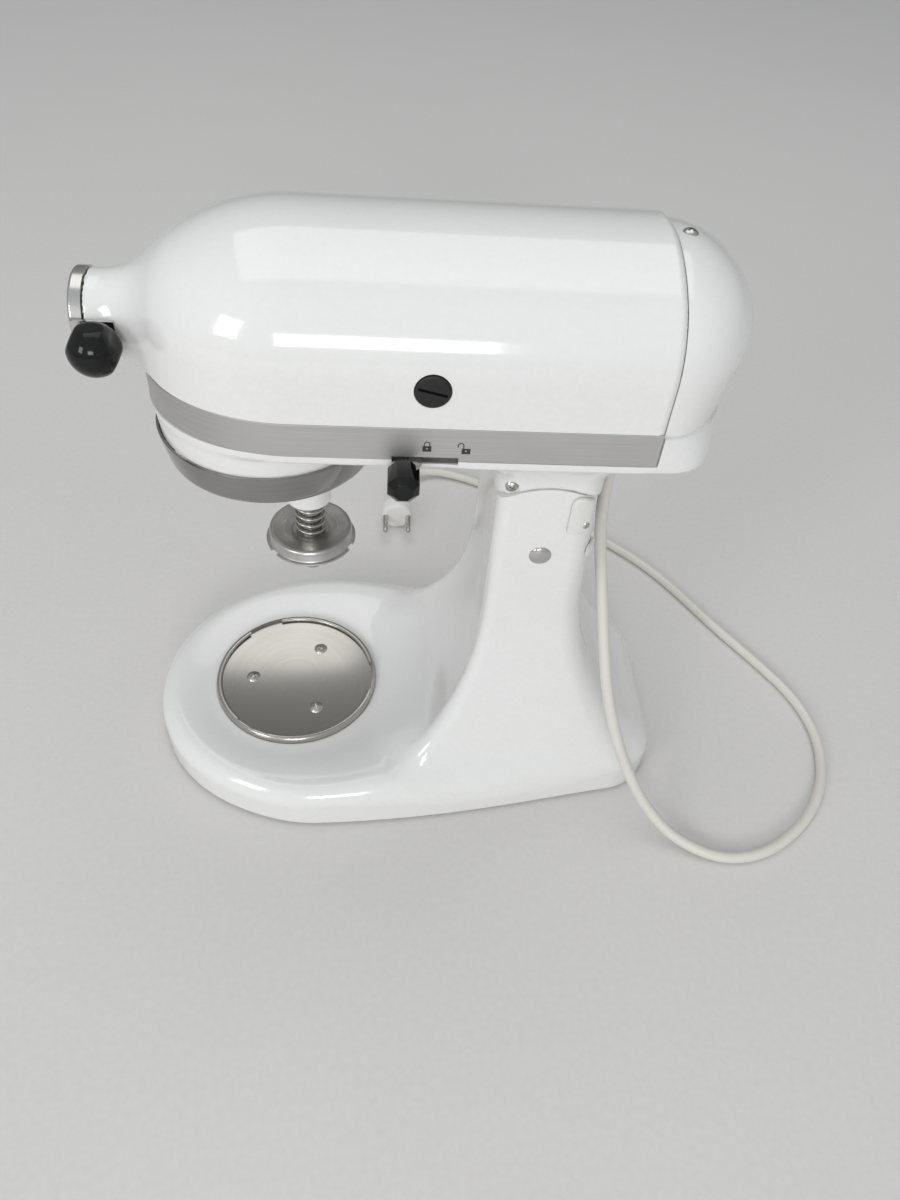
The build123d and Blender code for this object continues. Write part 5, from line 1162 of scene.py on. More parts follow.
    def make_pins(self) -> bpy.types.Object:
        """Two round pins with sleeved roots and rounded tips.

        Returns:
            The pins.
        """
        x, y, z = self.plug_centre
        places = [(x + offset, y, z) for offset in (-self.pin_offset, self.pin_offset)]
        mesh = joined([lathe(self.pin_profile, place, Turn.Y, 32) for place in places])
        mesh = sharp_by_angle(mesh, 40.0)
        nodes = ["plug_pins"]
        return add_piece("plug_pin_pair", mesh, "base", "polished_steel", nodes, "zinc_screw")


@dataclass(frozen=True)
class Taper:
    """A size of the column that eases from its foot into its top."""

    top: float
    foot: float
    power: float

    def at(self, share: np.ndarray) -> np.ndarray:
        """Size at a share of the way down."""
        return self.top + (self.foot - self.top) * share**self.power


@dataclass
class Pedestal:
    """Base and column as one enamelled casting."""

    front_x: float = -69.0
    front_radius: float = 97.0
    rear_x: float = 132.0
    rear_y: float = 36.0
    rear_radius: float = 34.0
    swells: tuple[Triple, ...] = ((30.0, 95.0, 5.4), (-104.0, 46.0, -4.2))
    rim_z: float = 31.0
    rim_round: float = 12.0
    rim_round_column: float = 25.0
    rim_round_run: Pair = (-55.0, 90.0)
    rim_lift: float = 5.0
    rim_lift_run: Pair = (-80.0, 90.0)
    foot_lift: float = 2.0
    foot_boss: float = 9.5
    dish_z: float = 27.0
    dish_radius: float = 60.0
    dish_slope: float = 14.0
    dish_ease: float = 7.0
    dish_blend: float = 2.5
    seat_radius: float = 54.5
    flare_foot_z: float = 30.0
    flare_top_z: float = 166.0
    flare_start_z: float = 8.0
    front: Taper = Taper(40.0, -8.0, 2.8)
    rear: Taper = Taper(97.0, 157.0, 2.0)
    rear_lean: float = 0.05
    front_half: Taper = Taper(45.0, 81.0, 2.2)
    rear_half: Taper = Taper(45.0, 67.0, 2.2)
    front_corner: Taper = Taper(8.0, 11.0, 2.0)
    rear_corner: Taper = Taper(14.0, 24.0, 2.0)
    channel: Taper = Taper(2.0, 7.0, 1.5)
    column_top_z: float = 246.0
    sunk_depth: float = 7.0
    sunk_ease: float = 6.0
    fillet: float = 26.0
    side_fillet: float = 11.0
    fillet_run: Pair = (12.0, 34.0)
    wall: float = 6.0
    shaft_z: Pair = (18.0, 258.0)
    knuckle_radius: float = 45.0
    pin_radius: float = 6.02
    rear_opening: Box = ((80.0, -32.0, 196.0), (130.0, 32.0, 262.0))

    def build(self) -> None:
        """Cast the pedestal and cut its knuckle, rear opening, pin hole and plate seat."""
        outer = Casting(self.field, (-172.0, -102.0, -3.0), (172.0, 102.0, 252.0), 2.2)
        cavity = Casting(self.cavity, (-166.0, -96.0, -4.0), (166.0, 96.0, 262.0), 3.6)
        mesh = carve(
            outer.mesh(),
            cavity.mesh(),
            box((-200.0, -130.0, -20.0), (200.0, 130.0, self.foot_lift)),
            self.above_knuckle(),
            box(*self.rear_opening),
            rod(HINGE, self.pin_radius, (-110.0, 110.0), Turn.Y, 48),
            rod(BOWL_CENTRE, self.seat_radius, (self.dish_z, 60.0), Turn.Z, 144),
        )
        OpeningGuard(self).build()
        mesh = polish(sharp_by_angle(mesh, 40.0), self.field)
        add_piece("pedestal_casting", mesh, "base", "white_enamel", ["pedestal"])

    def plan(self, x: np.ndarray, y: np.ndarray) -> np.ndarray:
        """Distance from the base's outline: a hull of one front and two rear circles.

        Args:
            x: Places along the base.
            y: Places across it.

        Returns:
            Distances, negative inside.
        """
        y = np.abs(y)
        run = np.array([self.rear_x - self.front_x, self.rear_y])
        length = np.hypot(*run)
        along = run / length
        across = np.array([-along[1], along[0]])
        lean = (self.front_radius - self.rear_radius) / length
        level = math.sqrt(1.0 - lean * lean)
        direction = level * along - lean * across
        normal = lean * along + level * across
        from_front = np.stack([x - self.front_x, y], axis=-1)
        share = from_front @ direction
        side = from_front @ normal - self.front_radius
        front = np.hypot(x - self.front_x, y) - self.front_radius
        corner = np.hypot(x - self.rear_x, y - self.rear_y) - self.rear_radius
        rear = np.where(y < self.rear_y, x - self.rear_x - self.rear_radius, corner)
        outline = np.where(share < 0.0, front, np.where(share > level * length, rear, side))
        for centre, reach, depth in self.swells:
            outline = outline - depth * np.exp(-(((x - centre) / reach) ** 2))
        return outline

    def column(self, points: np.ndarray) -> np.ndarray:
        """Distance from the flared column.

        Args:
            points: Rows of x, y and z.

        Returns:
            Distances, negative inside.
        """
        x, y, height = points.T
        z = np.clip(height, self.flare_start_z, self.column_top_z)
        share = (self.flare_top_z - z) / (self.flare_top_z - self.flare_foot_z)
        share = np.maximum(share, 0.0)
        front = self.front.at(share)
        rear = self.rear.at(share) - self.rear_lean * np.maximum(z - self.flare_top_z, 0.0)
        front_half = self.front_half.at(share)
        rounding = np.where(x < HINGE[0], self.front_corner.at(share), self.rear_corner.at(share))
        slope = (self.rear_half.at(share) - front_half) / (rear - front)
        half = front_half + slope * (x - front)
        side = (np.abs(y) - half) / np.sqrt(1.0 + slope**2)
        channel = self.channel.at(share) * np.maximum(1.0 - (y / front_half) ** 2, 0.0)
        ends = np.maximum(front + channel - x, x - rear)
        return rounded_meet(side, ends, rounding)

    def field(self, points: np.ndarray) -> np.ndarray:
        """Distance from the whole casting's outside.

        Args:
            points: Rows of x, y and z.

        Returns:
            Distances, negative inside.
        """
        x, y, z = points.T
        plan = self.plan(x, y)
        rounding = (self.rim_round_column - self.rim_round) * ease(x, *self.rim_round_run)
        top = self.rim_z + self.rim_lift * ease(x, *self.rim_lift_run)
        slab = rounded_meet(plan, z - top, self.rim_round + rounding)
        past = np.hypot(x - BOWL_CENTRE[0], y) - self.dish_radius
        rise = (self.rim_z - self.dish_z) / self.dish_slope
        dish = z - self.dish_z - rise * soft_positive(past, self.dish_ease)
        slab = -smooth_union(-slab, -dish, self.dish_blend)
        sunk = soft_positive(self.rim_z - self.sunk_depth - z, self.sunk_ease)
        inwards = ease(-plan, *self.fillet_run)
        fillet = self.side_fillet + (self.fillet - self.side_fillet) * inwards
        whole = smooth_union(slab, self.column(points) + sunk, fillet)
        return meet(whole, plan, -1.0 - z, z - self.column_top_z)

    def cavity(self, points: np.ndarray) -> np.ndarray:
        """Distance from the hollow under the base and up the column, round the foot bosses.

        Args:
            points: Rows of x, y and z.

        Returns:
            Distances, negative inside.
        """
        x, y, z = points.T
        low, high = self.shaft_z
        under = meet(self.plan(x, y) + self.wall, z - self.dish_z + self.wall, -2.0 - z)
        shaft = meet(self.column(points) + self.wall, low - z, z - high)
        feet = [np.hypot(x - foot_x, y - foot_y) for foot_x, foot_y in FOOT_CENTRES]
        return meet(np.minimum(under, shaft), *[self.foot_boss - foot for foot in feet])

    def above_knuckle(self) -> Mesh:
        """Everything above the round top of the column.

        Returns:
            A solid to cut away.
        """
        x, z = HINGE
        arc = [math.pi - math.pi * step / 72 for step in range(73)]
        outline = [polar(HINGE, self.knuckle_radius, angle) for angle in arc]
        outline += [(x + 150.0, z), (x + 150.0, z + 120.0), (x - 150.0, z + 120.0), (x - 150.0, z)]
        return prism(outline, -110.0, 110.0, Turn.Y)


@dataclass
class OpeningGuard:
    """Thin plastic saddle round the column's rear opening, with rounded cheeks."""

    pedestal: Pedestal
    offset: float = 1.45
    half_wall: float = 1.3
    edge: float = 0.8
    knuckle_gap: float = 0.4
    cheek_x: float = 78.0
    cheek_z: float = 211.0
    cheek_round: float = 7.0
    cheek_edge: float = 1.5
    leg_x: float = 92.0
    leg_y: float = 33.0
    leg_z: float = 200.0
    bridge_z: Pair = (191.0, 203.0)
    opening_x: float = 90.0
    opening_y: float = 32.4
    opening_z: float = 196.4

    def build(self) -> None:
        """Cast the guard."""
        mesh = Casting(self.field, (74.0, -52.0, 187.0), (104.0, 52.0, 242.0), 0.9).mesh()
        nodes = ["column_rear_guard"]
        add_piece("opening_guard", sharp_by_angle(mesh, 45.0), "base", "white_plastic", nodes)

    def field(self, points: np.ndarray) -> np.ndarray:
        """Distance from the guard.

        Args:
            points: Rows of x, y and z.

        Returns:
            Distances, negative inside.
        """
        x, y, z = points.T
        shell = np.abs(self.pedestal.column(points) - self.offset) - self.half_wall
        knuckle = np.hypot(x - HINGE[0], z - HINGE[1]) - self.pedestal.knuckle_radius
        top = knuckle + self.knuckle_gap
        cheek = rounded_meet(self.cheek_x - x, top, self.cheek_round)
        cheek = rounded_meet(cheek, self.cheek_z - z, self.cheek_edge)
        leg = meet(self.leg_x - x, self.leg_y - np.abs(y), self.leg_z - z)
        bridge = meet(self.leg_x - x, self.bridge_z[0] - z, z - self.bridge_z[1])
        outline = np.minimum(np.minimum(cheek, leg), bridge)
        opening = np.minimum(np.abs(y) - self.opening_y, self.opening_z - z)
        opening = np.maximum(opening, self.opening_x - x)
        return meet(rounded_meet(shell, outline, self.edge), -opening, top)


class GeometrySheet(NodeSheet):
    """Geometry node tree with named inputs, whose result becomes a plain mesh."""

    def __init__(self, name: str, inputs: Sequence[str]) -> None:
        """Start a tree.

        Args:
            name: Name of the tree.
            inputs: Names of its sizes, beside the geometry and the material.
        """
        super().__init__(bpy.data.node_groups.new(name, "GeometryNodeTree"))
        sizes = {label: "Float" for label in inputs}
        kinds = {"Geometry": "Geometry", **sizes, "Material": "Material"}
        face = self.tree.interface
        for label, kind in kinds.items():
            face.new_socket(label, in_out="INPUT", socket_type=f"NodeSocket{kind}")
        face.new_socket("Geometry", in_out="OUTPUT", socket_type="NodeSocketGeometry")
        self.entry = self.node("NodeGroupInput").outputs
        self.exit = self.node("NodeGroupOutput").inputs

    def moved(self, source: Socket, place: Point, turn: float = 0.0) -> Socket:
        """Geometry turned about Z and moved to a place.

        Args:
            source: The geometry.
            place: Where it goes, in metres.
            turn: Angle in radians.

        Returns:
            The moved geometry.
        """
        spin = (0.0, 0.0, turn)
        node = self.node("GeometryNodeTransform", Geometry=source, Translation=place, Rotation=spin)
        return node.outputs["Geometry"]

    def attribute(self, name: str, kind: str) -> Socket:
        """Named attribute of the points."""
        node = self.node("GeometryNodeInputNamedAttribute", {"data_type": kind}, Name=name)
        return node.outputs["Attribute"]

    def close(self, geometry: Socket) -> None:
        """End the tree with real geometry that wears the material.

        Args:
            geometry: The geometry.
        """
        real = self.node("GeometryNodeRealizeInstances", Geometry=geometry).outputs["Geometry"]
        material = self.entry["Material"]
        paint = self.node("GeometryNodeSetMaterial", Geometry=real, Material=material)
        self.link(paint.outputs["Geometry"], self.exit["Geometry"])

    def run(self, seed: Mesh, **values: object) -> Mesh:
        """Work the tree out on a mesh.

        Args:
            seed: Mesh that the tree starts from.
            values: Value of each named input, with underscores for spaces.

        Returns:
            The result as a plain mesh.
        """
        thing = placed(self.tree.name, seed)
        modifier = thing.modifiers.new("tree", "NODES")
        modifier.node_group = self.tree
        for item in self.tree.interface.items_tree:
            label = item.name.replace(" ", "_")
            if item.in_out == "INPUT" and label in values:
                modifier[item.identifier] = values[label]
        return plain_mesh(thing)


@dataclass(frozen=True)
class ScrewPlace:
    """Seat of a screw head, in millimetres."""

    seat: Triple
    facing: Triple
    head_radius: float


@dataclass
class Fasteners:
    """Cross-head screws and rubber feet, set out on points by node trees."""

    plate_circle: float = 29.5
    plate_seat_z: float = 28.6
    plate_head: float = 4.6
    guard_seat: Triple = (87.0, -46.0, 216.0)
    guard_head: float = 2.4
    block_head: float = 3.4
    cover_head: float = 3.6
    case_places: tuple[Pair, ...] = ((-32.0, 52.5), (-32.0, -52.5), (132.0, 25.0), (132.0, -25.0))
    case_head: float = 3.8
    head_sides: int = 40
    dome_radius: float = 1.3
    dome_drop: float = 0.85
    recess_width: float = 0.2
    recess_length: float = 1.15
    recess_height: float = 0.5
    recess_z: float = 0.42
    foot_radius: float = 8.0
    foot_toe: float = 7.5
    foot_height: float = 2.0

    def build(self) -> None:
        """Set out the screws of the base and of the head, and the feet."""
        up, down, near = (0.0, 0.0, 1.0), (0.0, 0.0, -1.0), (0.0, -1.0, 0.0)
        base = []
        for degrees in (60.0, 180.0, 300.0):
            place = polar(BOWL_CENTRE, self.plate_circle, math.radians(degrees))
            base.append(ScrewPlace((*place, self.plate_seat_z), up, self.plate_head))
        base.append(ScrewPlace(self.guard_seat, near, self.guard_head))
        nodes = ["plate_screws", "guard_screw"]
        add_piece("base_screws", self.screws(base), "base", "zinc_screw", nodes)
        head = [
            ScrewPlace(BLOCK_SCREW, near, self.block_head),
            ScrewPlace(COVER_SCREW, up, self.cover_head),
        ]
        for place in self.case_places:
            head.append(ScrewPlace((*place, CASE_Z), down, self.case_head))
        nodes = ["block_screw", "cover_screw", "case_screws"]
        add_piece("head_screws", self.screws(head), "head", "zinc_screw", nodes)
        add_piece("foot_pads", self.feet(), "base", "rubber", ["rubber_feet"])

    def screws(self, places: Sequence[ScrewPlace]) -> Mesh:
        """Domed screw heads with crossed recesses.

        Args:
            places: Seat of each screw.

        Returns:
            The heads as one mesh.
        """
        seed = mesh_of([place.seat for place in places], [])
        facing = seed.attributes.new("facing", "FLOAT_VECTOR", "POINT")
        facing.data.foreach_set("vector", [value for place in places for value in place.facing])
        radius = seed.attributes.new("head_radius", "FLOAT", "POINT")
        radius.data.foreach_set("value", [place.head_radius * MM for place in places])
        sheet = GeometrySheet("cross_head_screws", ["Recess Width"])
        spread = sheet.node(
            "GeometryNodeInstanceOnPoints",
            Points=sheet.entry["Geometry"],
            Instance=self.screw_head(sheet),
            Rotation=self.screw_turn(sheet),
            Scale=sheet.attribute("head_radius", "FLOAT"),
        )
        sheet.close(spread.outputs["Instances"])
        mesh = sheet.run(seed, Recess_Width=self.recess_width, Material=PAINT["zinc_screw"])
        return sharp_by_angle(mesh, 32.0)

    def screw_head(self, sheet: GeometrySheet) -> Socket:
        """Head of radius 1, with a domed top and a crossed recess.

        Args:
            sheet: Node tree of the screws.

        Returns:
            The head's geometry.
        """
        sides, radius = self.head_sides, self.dome_radius
        stock = sheet.node("GeometryNodeMeshCylinder", Vertices=sides, Radius=1.0, Depth=1.0)
        dome = sheet.node("GeometryNodeMeshUVSphere", Segments=sides, Rings=28, Radius=radius)
        kind, solver = "GeometryNodeMeshBoolean", {"solver": "MANIFOLD"}
        pan = sheet.node(kind, {"operation": "INTERSECT", **solver}, Mesh_2=stock.outputs["Mesh"])
        lowered = sheet.moved(dome.outputs["Mesh"], (0.0, 0.0, -self.dome_drop))
        sheet.link(lowered, pan.inputs["Mesh 2"])
        length, height, width = self.recess_length, self.recess_height, sheet.entry["Recess Width"]
        size = sheet.node("ShaderNodeCombineXYZ", X=length, Y=width, Z=height)
        bar = sheet.node("GeometryNodeMeshCube", Size=size.outputs["Vector"])
        head = sheet.node(kind, {"operation": "DIFFERENCE", **solver}, Mesh_1=pan.outputs["Mesh"])
        for turn in (0.0, math.pi / 2):
            arm = sheet.moved(bar.outputs["Mesh"], (0.0, 0.0, self.recess_z), turn)
            sheet.link(arm, head.inputs["Mesh 2"])
        return head.outputs["Mesh"]

    def screw_turn(self, sheet: GeometrySheet) -> Socket:
        """Rotation of each screw: onto its facing, and round its own axis by chance.

        Args:
            sheet: Node tree of the screws.

        Returns:
            The rotation.
        """
        chance = sheet.node(
            "FunctionNodeRandomValue", {"data_type": "FLOAT"}, Min=0.2, Max=1.4, Seed=7
        )
        angle, axis = chance.outputs["Value"], (0.0, 0.0, 1.0)
        spin = sheet.node("FunctionNodeAxisAngleToRotation", Axis=axis, Angle=angle)
        align = sheet.node(
            "FunctionNodeAlignRotationToVector",
            {"axis": "Z"},
            Rotation=spin.outputs["Rotation"],
            Vector=sheet.attribute("facing", "FLOAT_VECTOR"),
        )
        return align.outputs["Rotation"]

    def feet(self) -> Mesh:
        """Rubber pads under the base, one on each foot's place.

        Returns:
            The pads as one mesh.
        """
        seed = mesh_of([(*centre, 0.0) for centre in FOOT_CENTRES], [])
        sheet = GeometrySheet("rubber_pads", ["Toe Radius", "Radius"])
        pad = sheet.node(
            "GeometryNodeMeshCone",
            Vertices=56,
            Depth=self.foot_height * MM,
            Radius_Bottom=sheet.entry["Toe Radius"],
            Radius_Top=sheet.entry["Radius"],
        )
        points, shape = sheet.entry["Geometry"], pad.outputs["Mesh"]
        spread = sheet.node("GeometryNodeInstanceOnPoints", Points=points, Instance=shape)
        sheet.close(spread.outputs["Instances"])
        sizes = {"Toe_Radius": self.foot_toe * MM, "Radius": self.foot_radius * MM}
        return sharp_by_angle(sheet.run(seed, Material=PAINT["rubber"], **sizes), 40.0)


def head_outline(half: float, rear_x: float, steps: int = 72) -> list[Pair]:
    """Plan of the head: a half ellipse in front and straight sides.

    Args:
        half: Half-width of the head.
        rear_x: Where the sides end.
        steps: Number of steps round the front.

    Returns:
        Points from the near rear end to the far one.
    """
    points = [(rear_x, -half)]
    for step in range(steps + 1):
        angle = math.pi * step / steps
        points.append((DOME_X - DOME_STRETCH * half * math.sin(angle), -half * math.cos(angle)))
    points.append((rear_x, half))
    return points


@dataclass
class Head:
    """Housings of the head, with the brushed band between them."""

    half: float = 60.5
    crown_radius: float = 75.0
    crown_z: float = 278.0
    shoulder_radius: float = 40.716
    shoulder_y: float = 19.784
    shoulder_z: float = 306.0
    parting_z: float = 266.0
    skirt_z: float = 260.0
    seam_x: float = 110.0
    seam_round: float = 4.0
    wall: float = 3.5
    nose_x: float = -150.0
    nose_end_x: float = -90.0
    nose_radius: float = 19.5
    nose_edge: float = 1.0
    nose_fillet: float = 15.0
    root_x: float = -113.0
    root_spread: float = 0.9
    socket_radius: float = 15.6
    brush_hole: float = 8.25
    ball_hole: float = 3.1
    band_recess: float = 0.9
    band_recess_top: float = 284.0
    band_z: Pair = (266.2, 283.8)
    band_proud: float = 0.2
    band_edge: float = 0.35
    band_gap: float = 0.02
    band_end_x: float = 109.0
    cover_x: float = 110.1
    cover_inset: float = 2.6
    cover_low_z: float = 281.5
    cover_stretch: float = 0.769
    cover_tuck: float = 0.145
    cover_tuck_run: Pair = (276.0, 46.0)
    cover_wall: float = 3.0
    cover_seat: float = 4.1
    cover_stock_x: float = 107.0
    cover_stock_z: float = 278.0
    cover_opening_x: Pair = (98.0, 122.0)
    cover_opening_half: float = 45.0
    cover_opening_z: float = 281.0
    cover_opening_reach: float = 5.0
    lip_half: float = 60.1
    lip_z: float = CASE_Z
    lip_round: float = 3.0
    lip_wall: float = 4.0
    lip_stock_z: float = 290.0
    floor_z: float = 261.5
    floor_stock_z: float = 300.0
    tail_stretch: float = 0.5455
    tail_spread: float = 0.07
    tail_square: float = 1.3
    tail_z: Pair = (262.0, 281.0)
    boss_radius: float = 54.6
    boss_draft: float = 0.7
    boss_low_z: float = 247.5
    boss_height: float = 10.5
    boss_fillet: float = 3.0
    neck_top_z: float = 262.5
    neck_low_z: float = 239.0
    neck_stock_z: float = 216.0
    neck_fillet: float = 5.0
    neck_front: Pair = (-6.0, 45.5)
    neck_rear: Pair = (131.0, -36.0)
    neck_half: Pair = (58.6, -13.6)
    neck_corner: Pair = (30.0, -17.0)
    knuckle_radius: float = 45.5
    knuckle_edge: float = 1.2
    pin_radius: float = 6.05
    tongue_eye: float = 14.0
    tongue_half: float = 10.0
    tongue_top_z: float = 244.0
    tongue_wide: float = 30.0
    planetary_radius: float = 48.0
    planetary_z: Pair = (240.0, 257.6)
    shaft_radius: float = 12.02
    shaft_z: Pair = (250.0, 264.0)
    cord_radius: float = 7.02
    cord_z: Pair = (225.0, 264.0)
    block_pocket: Box = ((44.5, -40.0, 248.0), (90.0, 40.0, 264.0))
    screw_seat: float = 3.9

    def build(self) -> None:
        """Cast the housings, fit the band and print its marks."""
        self.make_upper()
        self.make_cover()
        self.make_lower()
        self.make_band()
        PrintedMarks(self).build()

    def section(self, radius: np.ndarray, z: np.ndarray) -> np.ndarray:
        """Distance from the head's section: crown arc, shoulder arc and straight side.

        Args:
            radius: Half-widths that the points lie at.
            z: Their heights.

        Returns:
            Distances, negative inside.
        """
        crown = np.hypot(radius, z - self.crown_z) - self.crown_radius
        shoulder = np.hypot(radius - self.shoulder_y, z - self.shoulder_z) - self.shoulder_radius
        side = radius - self.half
        rise = self.shoulder_z - self.crown_z
        on_crown = (z - self.crown_z) * self.shoulder_y > radius * rise
        return np.where(z <= self.shoulder_z, side, np.where(on_crown, crown, shoulder))

    def front_radius(self, x: np.ndarray, y: np.ndarray) -> np.ndarray:
        """Half-width of the head that a point lies at, with the stretched dome in front."""
        return np.hypot(np.minimum(x - DOME_X, 0.0) / DOME_STRETCH, y)

    def upper(self, points: np.ndarray) -> np.ndarray:
        """Distance from the upper housing's outside, with its nose.

        Args:
            points: Rows of x, y and z.

        Returns:
            Distances, negative inside.
        """
        x, y, z = points.T
        shell = self.section(self.front_radius(x, y), z)
        shell = rounded_meet(shell, x - self.seam_x, self.seam_round)
        nose = np.hypot(y, z - HUB_Z) - self.nose_radius
        nose = rounded_meet(nose, self.nose_x - x, self.nose_edge)
        nose = np.maximum(nose, x - self.nose_end_x)
        return np.maximum(smooth_union(shell, nose, self.nose_fillet), self.skirt_z - z)

    def upper_cavity(self, points: np.ndarray) -> np.ndarray:
        """Distance from the upper housing's hollow, round the root of the nose.

        Args:
            points: Rows of x, y and z.

        Returns:
            Distances, negative inside.
        """
        x, y, z = points.T
        hollow = self.section(self.front_radius(x, y), z) + self.wall
        spread = self.root_spread * np.maximum(self.root_x - x, 0.0)
        root = np.hypot(y, z - HUB_Z) - self.nose_radius - spread
        root = np.maximum(root, x - self.root_x)
        return meet(hollow, x - self.seam_x - 6.0, self.skirt_z - z, -root)

    def make_upper(self) -> None:
        """Cast the upper housing and cut its socket, recess, holes and slots."""
        outer = Casting(self.upper, (-156.0, -66.0, 258.0), (118.0, 66.0, 358.0), 1.8)
        cavity = Casting(self.upper_cavity, (-140.0, -64.0, 256.0), (122.0, 64.0, 354.0), 3.0)
        recess = hollow_prism(
            head_outline(self.half + 3.0, 118.0),
            head_outline(self.half - self.band_recess, 120.0),
            (self.parting_z - 2.0, self.band_recess_top),
        )
        mesh = carve(
            outer.mesh(),
            cavity.mesh(),
            box((-170.0, -80.0, 240.0), (130.0, 80.0, self.parting_z)),
            rod((0.0, HUB_Z), self.socket_radius, (-170.0, -112.0), Turn.X),
            recess,
            rod(BRUSH_CENTRE, self.brush_hole, (-80.0, 80.0), Turn.Y, 64),
            rod((BALL_CENTRE[0], HUB_Z), self.ball_hole, (-30.0, -12.0), Turn.Y, 32),
            box(*LOCK_SLOT),
            box(*SPEED_SLOT),
        )
        mesh = polish(sharp_by_angle(mesh, 38.0), self.upper)
        add_piece("upper_shell", mesh, "head", "white_enamel", ["upper_housing"])

    def cover_section(self, points: np.ndarray) -> np.ndarray:
        """Distance from the rear cover's dome, which tucks in below.

        Args:
            points: Rows of x, y and z.

        Returns:
            Distances, negative inside.
        """
        x, y, z = points.T
        stretch = self.cover_stretch - self.cover_tuck * (1.0 - ease(z, *self.cover_tuck_run))
        radius = np.hypot(np.maximum(x - self.cover_x, 0.0) / stretch, y)
        return self.section(radius, z) + self.cover_inset

    def cover(self, points: np.ndarray) -> np.ndarray:
        """Distance from the rear cover's outside, a little past its cut ends."""
        x, _, z = points.T
        return meet(self.cover_section(points), self.cover_stock_z - z, self.cover_stock_x - x)

    def cover_cavity(self, points: np.ndarray) -> np.ndarray:
        """Distance from the rear cover's hollow, open in front and through its floor.

        Args:
            points: Rows of x, y and z.

        Returns:
            Distances, negative inside.
        """
        x, y, z = points.T
        inside = self.cover_section(points) + self.cover_wall
        floor = self.cover_low_z + self.cover_wall
        hollow = meet(inside, floor - z, self.cover_x - 6.0 - x)
        front, rear = self.cover_opening_x
        side = np.abs(y) - self.cover_opening_half
        level = np.abs(z - self.cover_opening_z) - self.cover_opening_reach
        opening = meet(side, x - rear, front - x, level)
        return np.minimum(hollow, opening)

    def make_cover(self) -> None:
        """Cast the rear cover, with the spot face of its screw."""
        outer = Casting(self.cover, (104.0, -64.0, 276.0), (162.0, 64.0, 357.0), 1.5)
        cavity = Casting(self.cover_cavity, (94.0, -62.0, 272.0), (158.0, 62.0, 352.0), 2.6)
        mesh = carve(
            outer.mesh(),
            cavity.mesh(),
            box((90.0, -80.0, 270.0), (self.cover_x, 80.0, 370.0)),
            box((90.0, -80.0, 270.0), (170.0, 80.0, self.cover_low_z)),
            rod(COVER_SCREW, self.cover_seat, (COVER_SCREW[2], 362.0), Turn.Z, 40),
        )
        mesh = polish(sharp_by_angle(mesh, 38.0), self.cover)
        add_piece("rear_dome", mesh, "head", "white_enamel", ["rear_cover"])

    def lip_plan(self, points: np.ndarray) -> np.ndarray:
        """Distance from the lower housing's outline; its tail leans out and squares off below.

        Args:
            points: Rows of x, y and z.

        Returns:
            Distances, negative inside.
        """
        x, y, z = points.T
        low, high = self.tail_z
        rise = np.clip((z - low) / (high - low), 0.0, 1.0)
        stretch = self.tail_stretch + self.tail_spread * rise
        behind = np.maximum(x - self.seam_x, 0.0) / stretch
        power = 2.0 + self.tail_square * (1.0 - rise)
        tail = (behind**power + np.abs(y) ** power) ** (1.0 / power)
        return np.where(x > self.seam_x, tail, self.front_radius(x, y)) - self.lip_half

    def lower(self, points: np.ndarray) -> np.ndarray:
        """Distance from the lower housing's outside: lip, neck, pivot block and boss.

        Args:
            points: Rows of x, y and z.

        Returns:
            Distances, negative inside.
        """
        x, y, z = points.T
        lip = rounded_meet(self.lip_plan(points), self.lip_z - z, self.lip_round)
        fall = np.clip((self.neck_top_z - z) / (self.neck_top_z - self.neck_low_z), 0.0, 1.0)
        share = 1.0 - (1.0 - fall) ** 2
        sizes = (self.neck_front, self.neck_rear, self.neck_half, self.neck_corner)
        front, rear, half, corner = (at_lip + change * share for at_lip, change in sizes)
        neck = rounded_meet(np.abs(y) - half, np.maximum(front - x, x - rear), corner)
        arc = self.knuckle_radius - np.hypot(x - HINGE[0], z - HINGE[1])
        neck = np.maximum(rounded_meet(neck, arc, self.knuckle_edge), self.neck_stock_z - z)
        above = z - self.boss_low_z
        boss = np.hypot(x - BOWL_CENTRE[0], y) - self.boss_radius
        boss = np.maximum(boss - self.boss_draft * above / self.boss_height, -above)
        whole = smooth_union(lip, neck, self.neck_fillet)
        return np.maximum(smooth_union(whole, boss, self.boss_fillet), z - self.lip_stock_z)

    def lower_cavity(self, points: np.ndarray) -> np.ndarray:
        """Distance from the space above the lower housing's floor."""
        z, wall = points[:, 2], self.lip_wall
        return meet(self.lip_plan(points) + wall, self.floor_z - z, z - self.floor_stock_z)

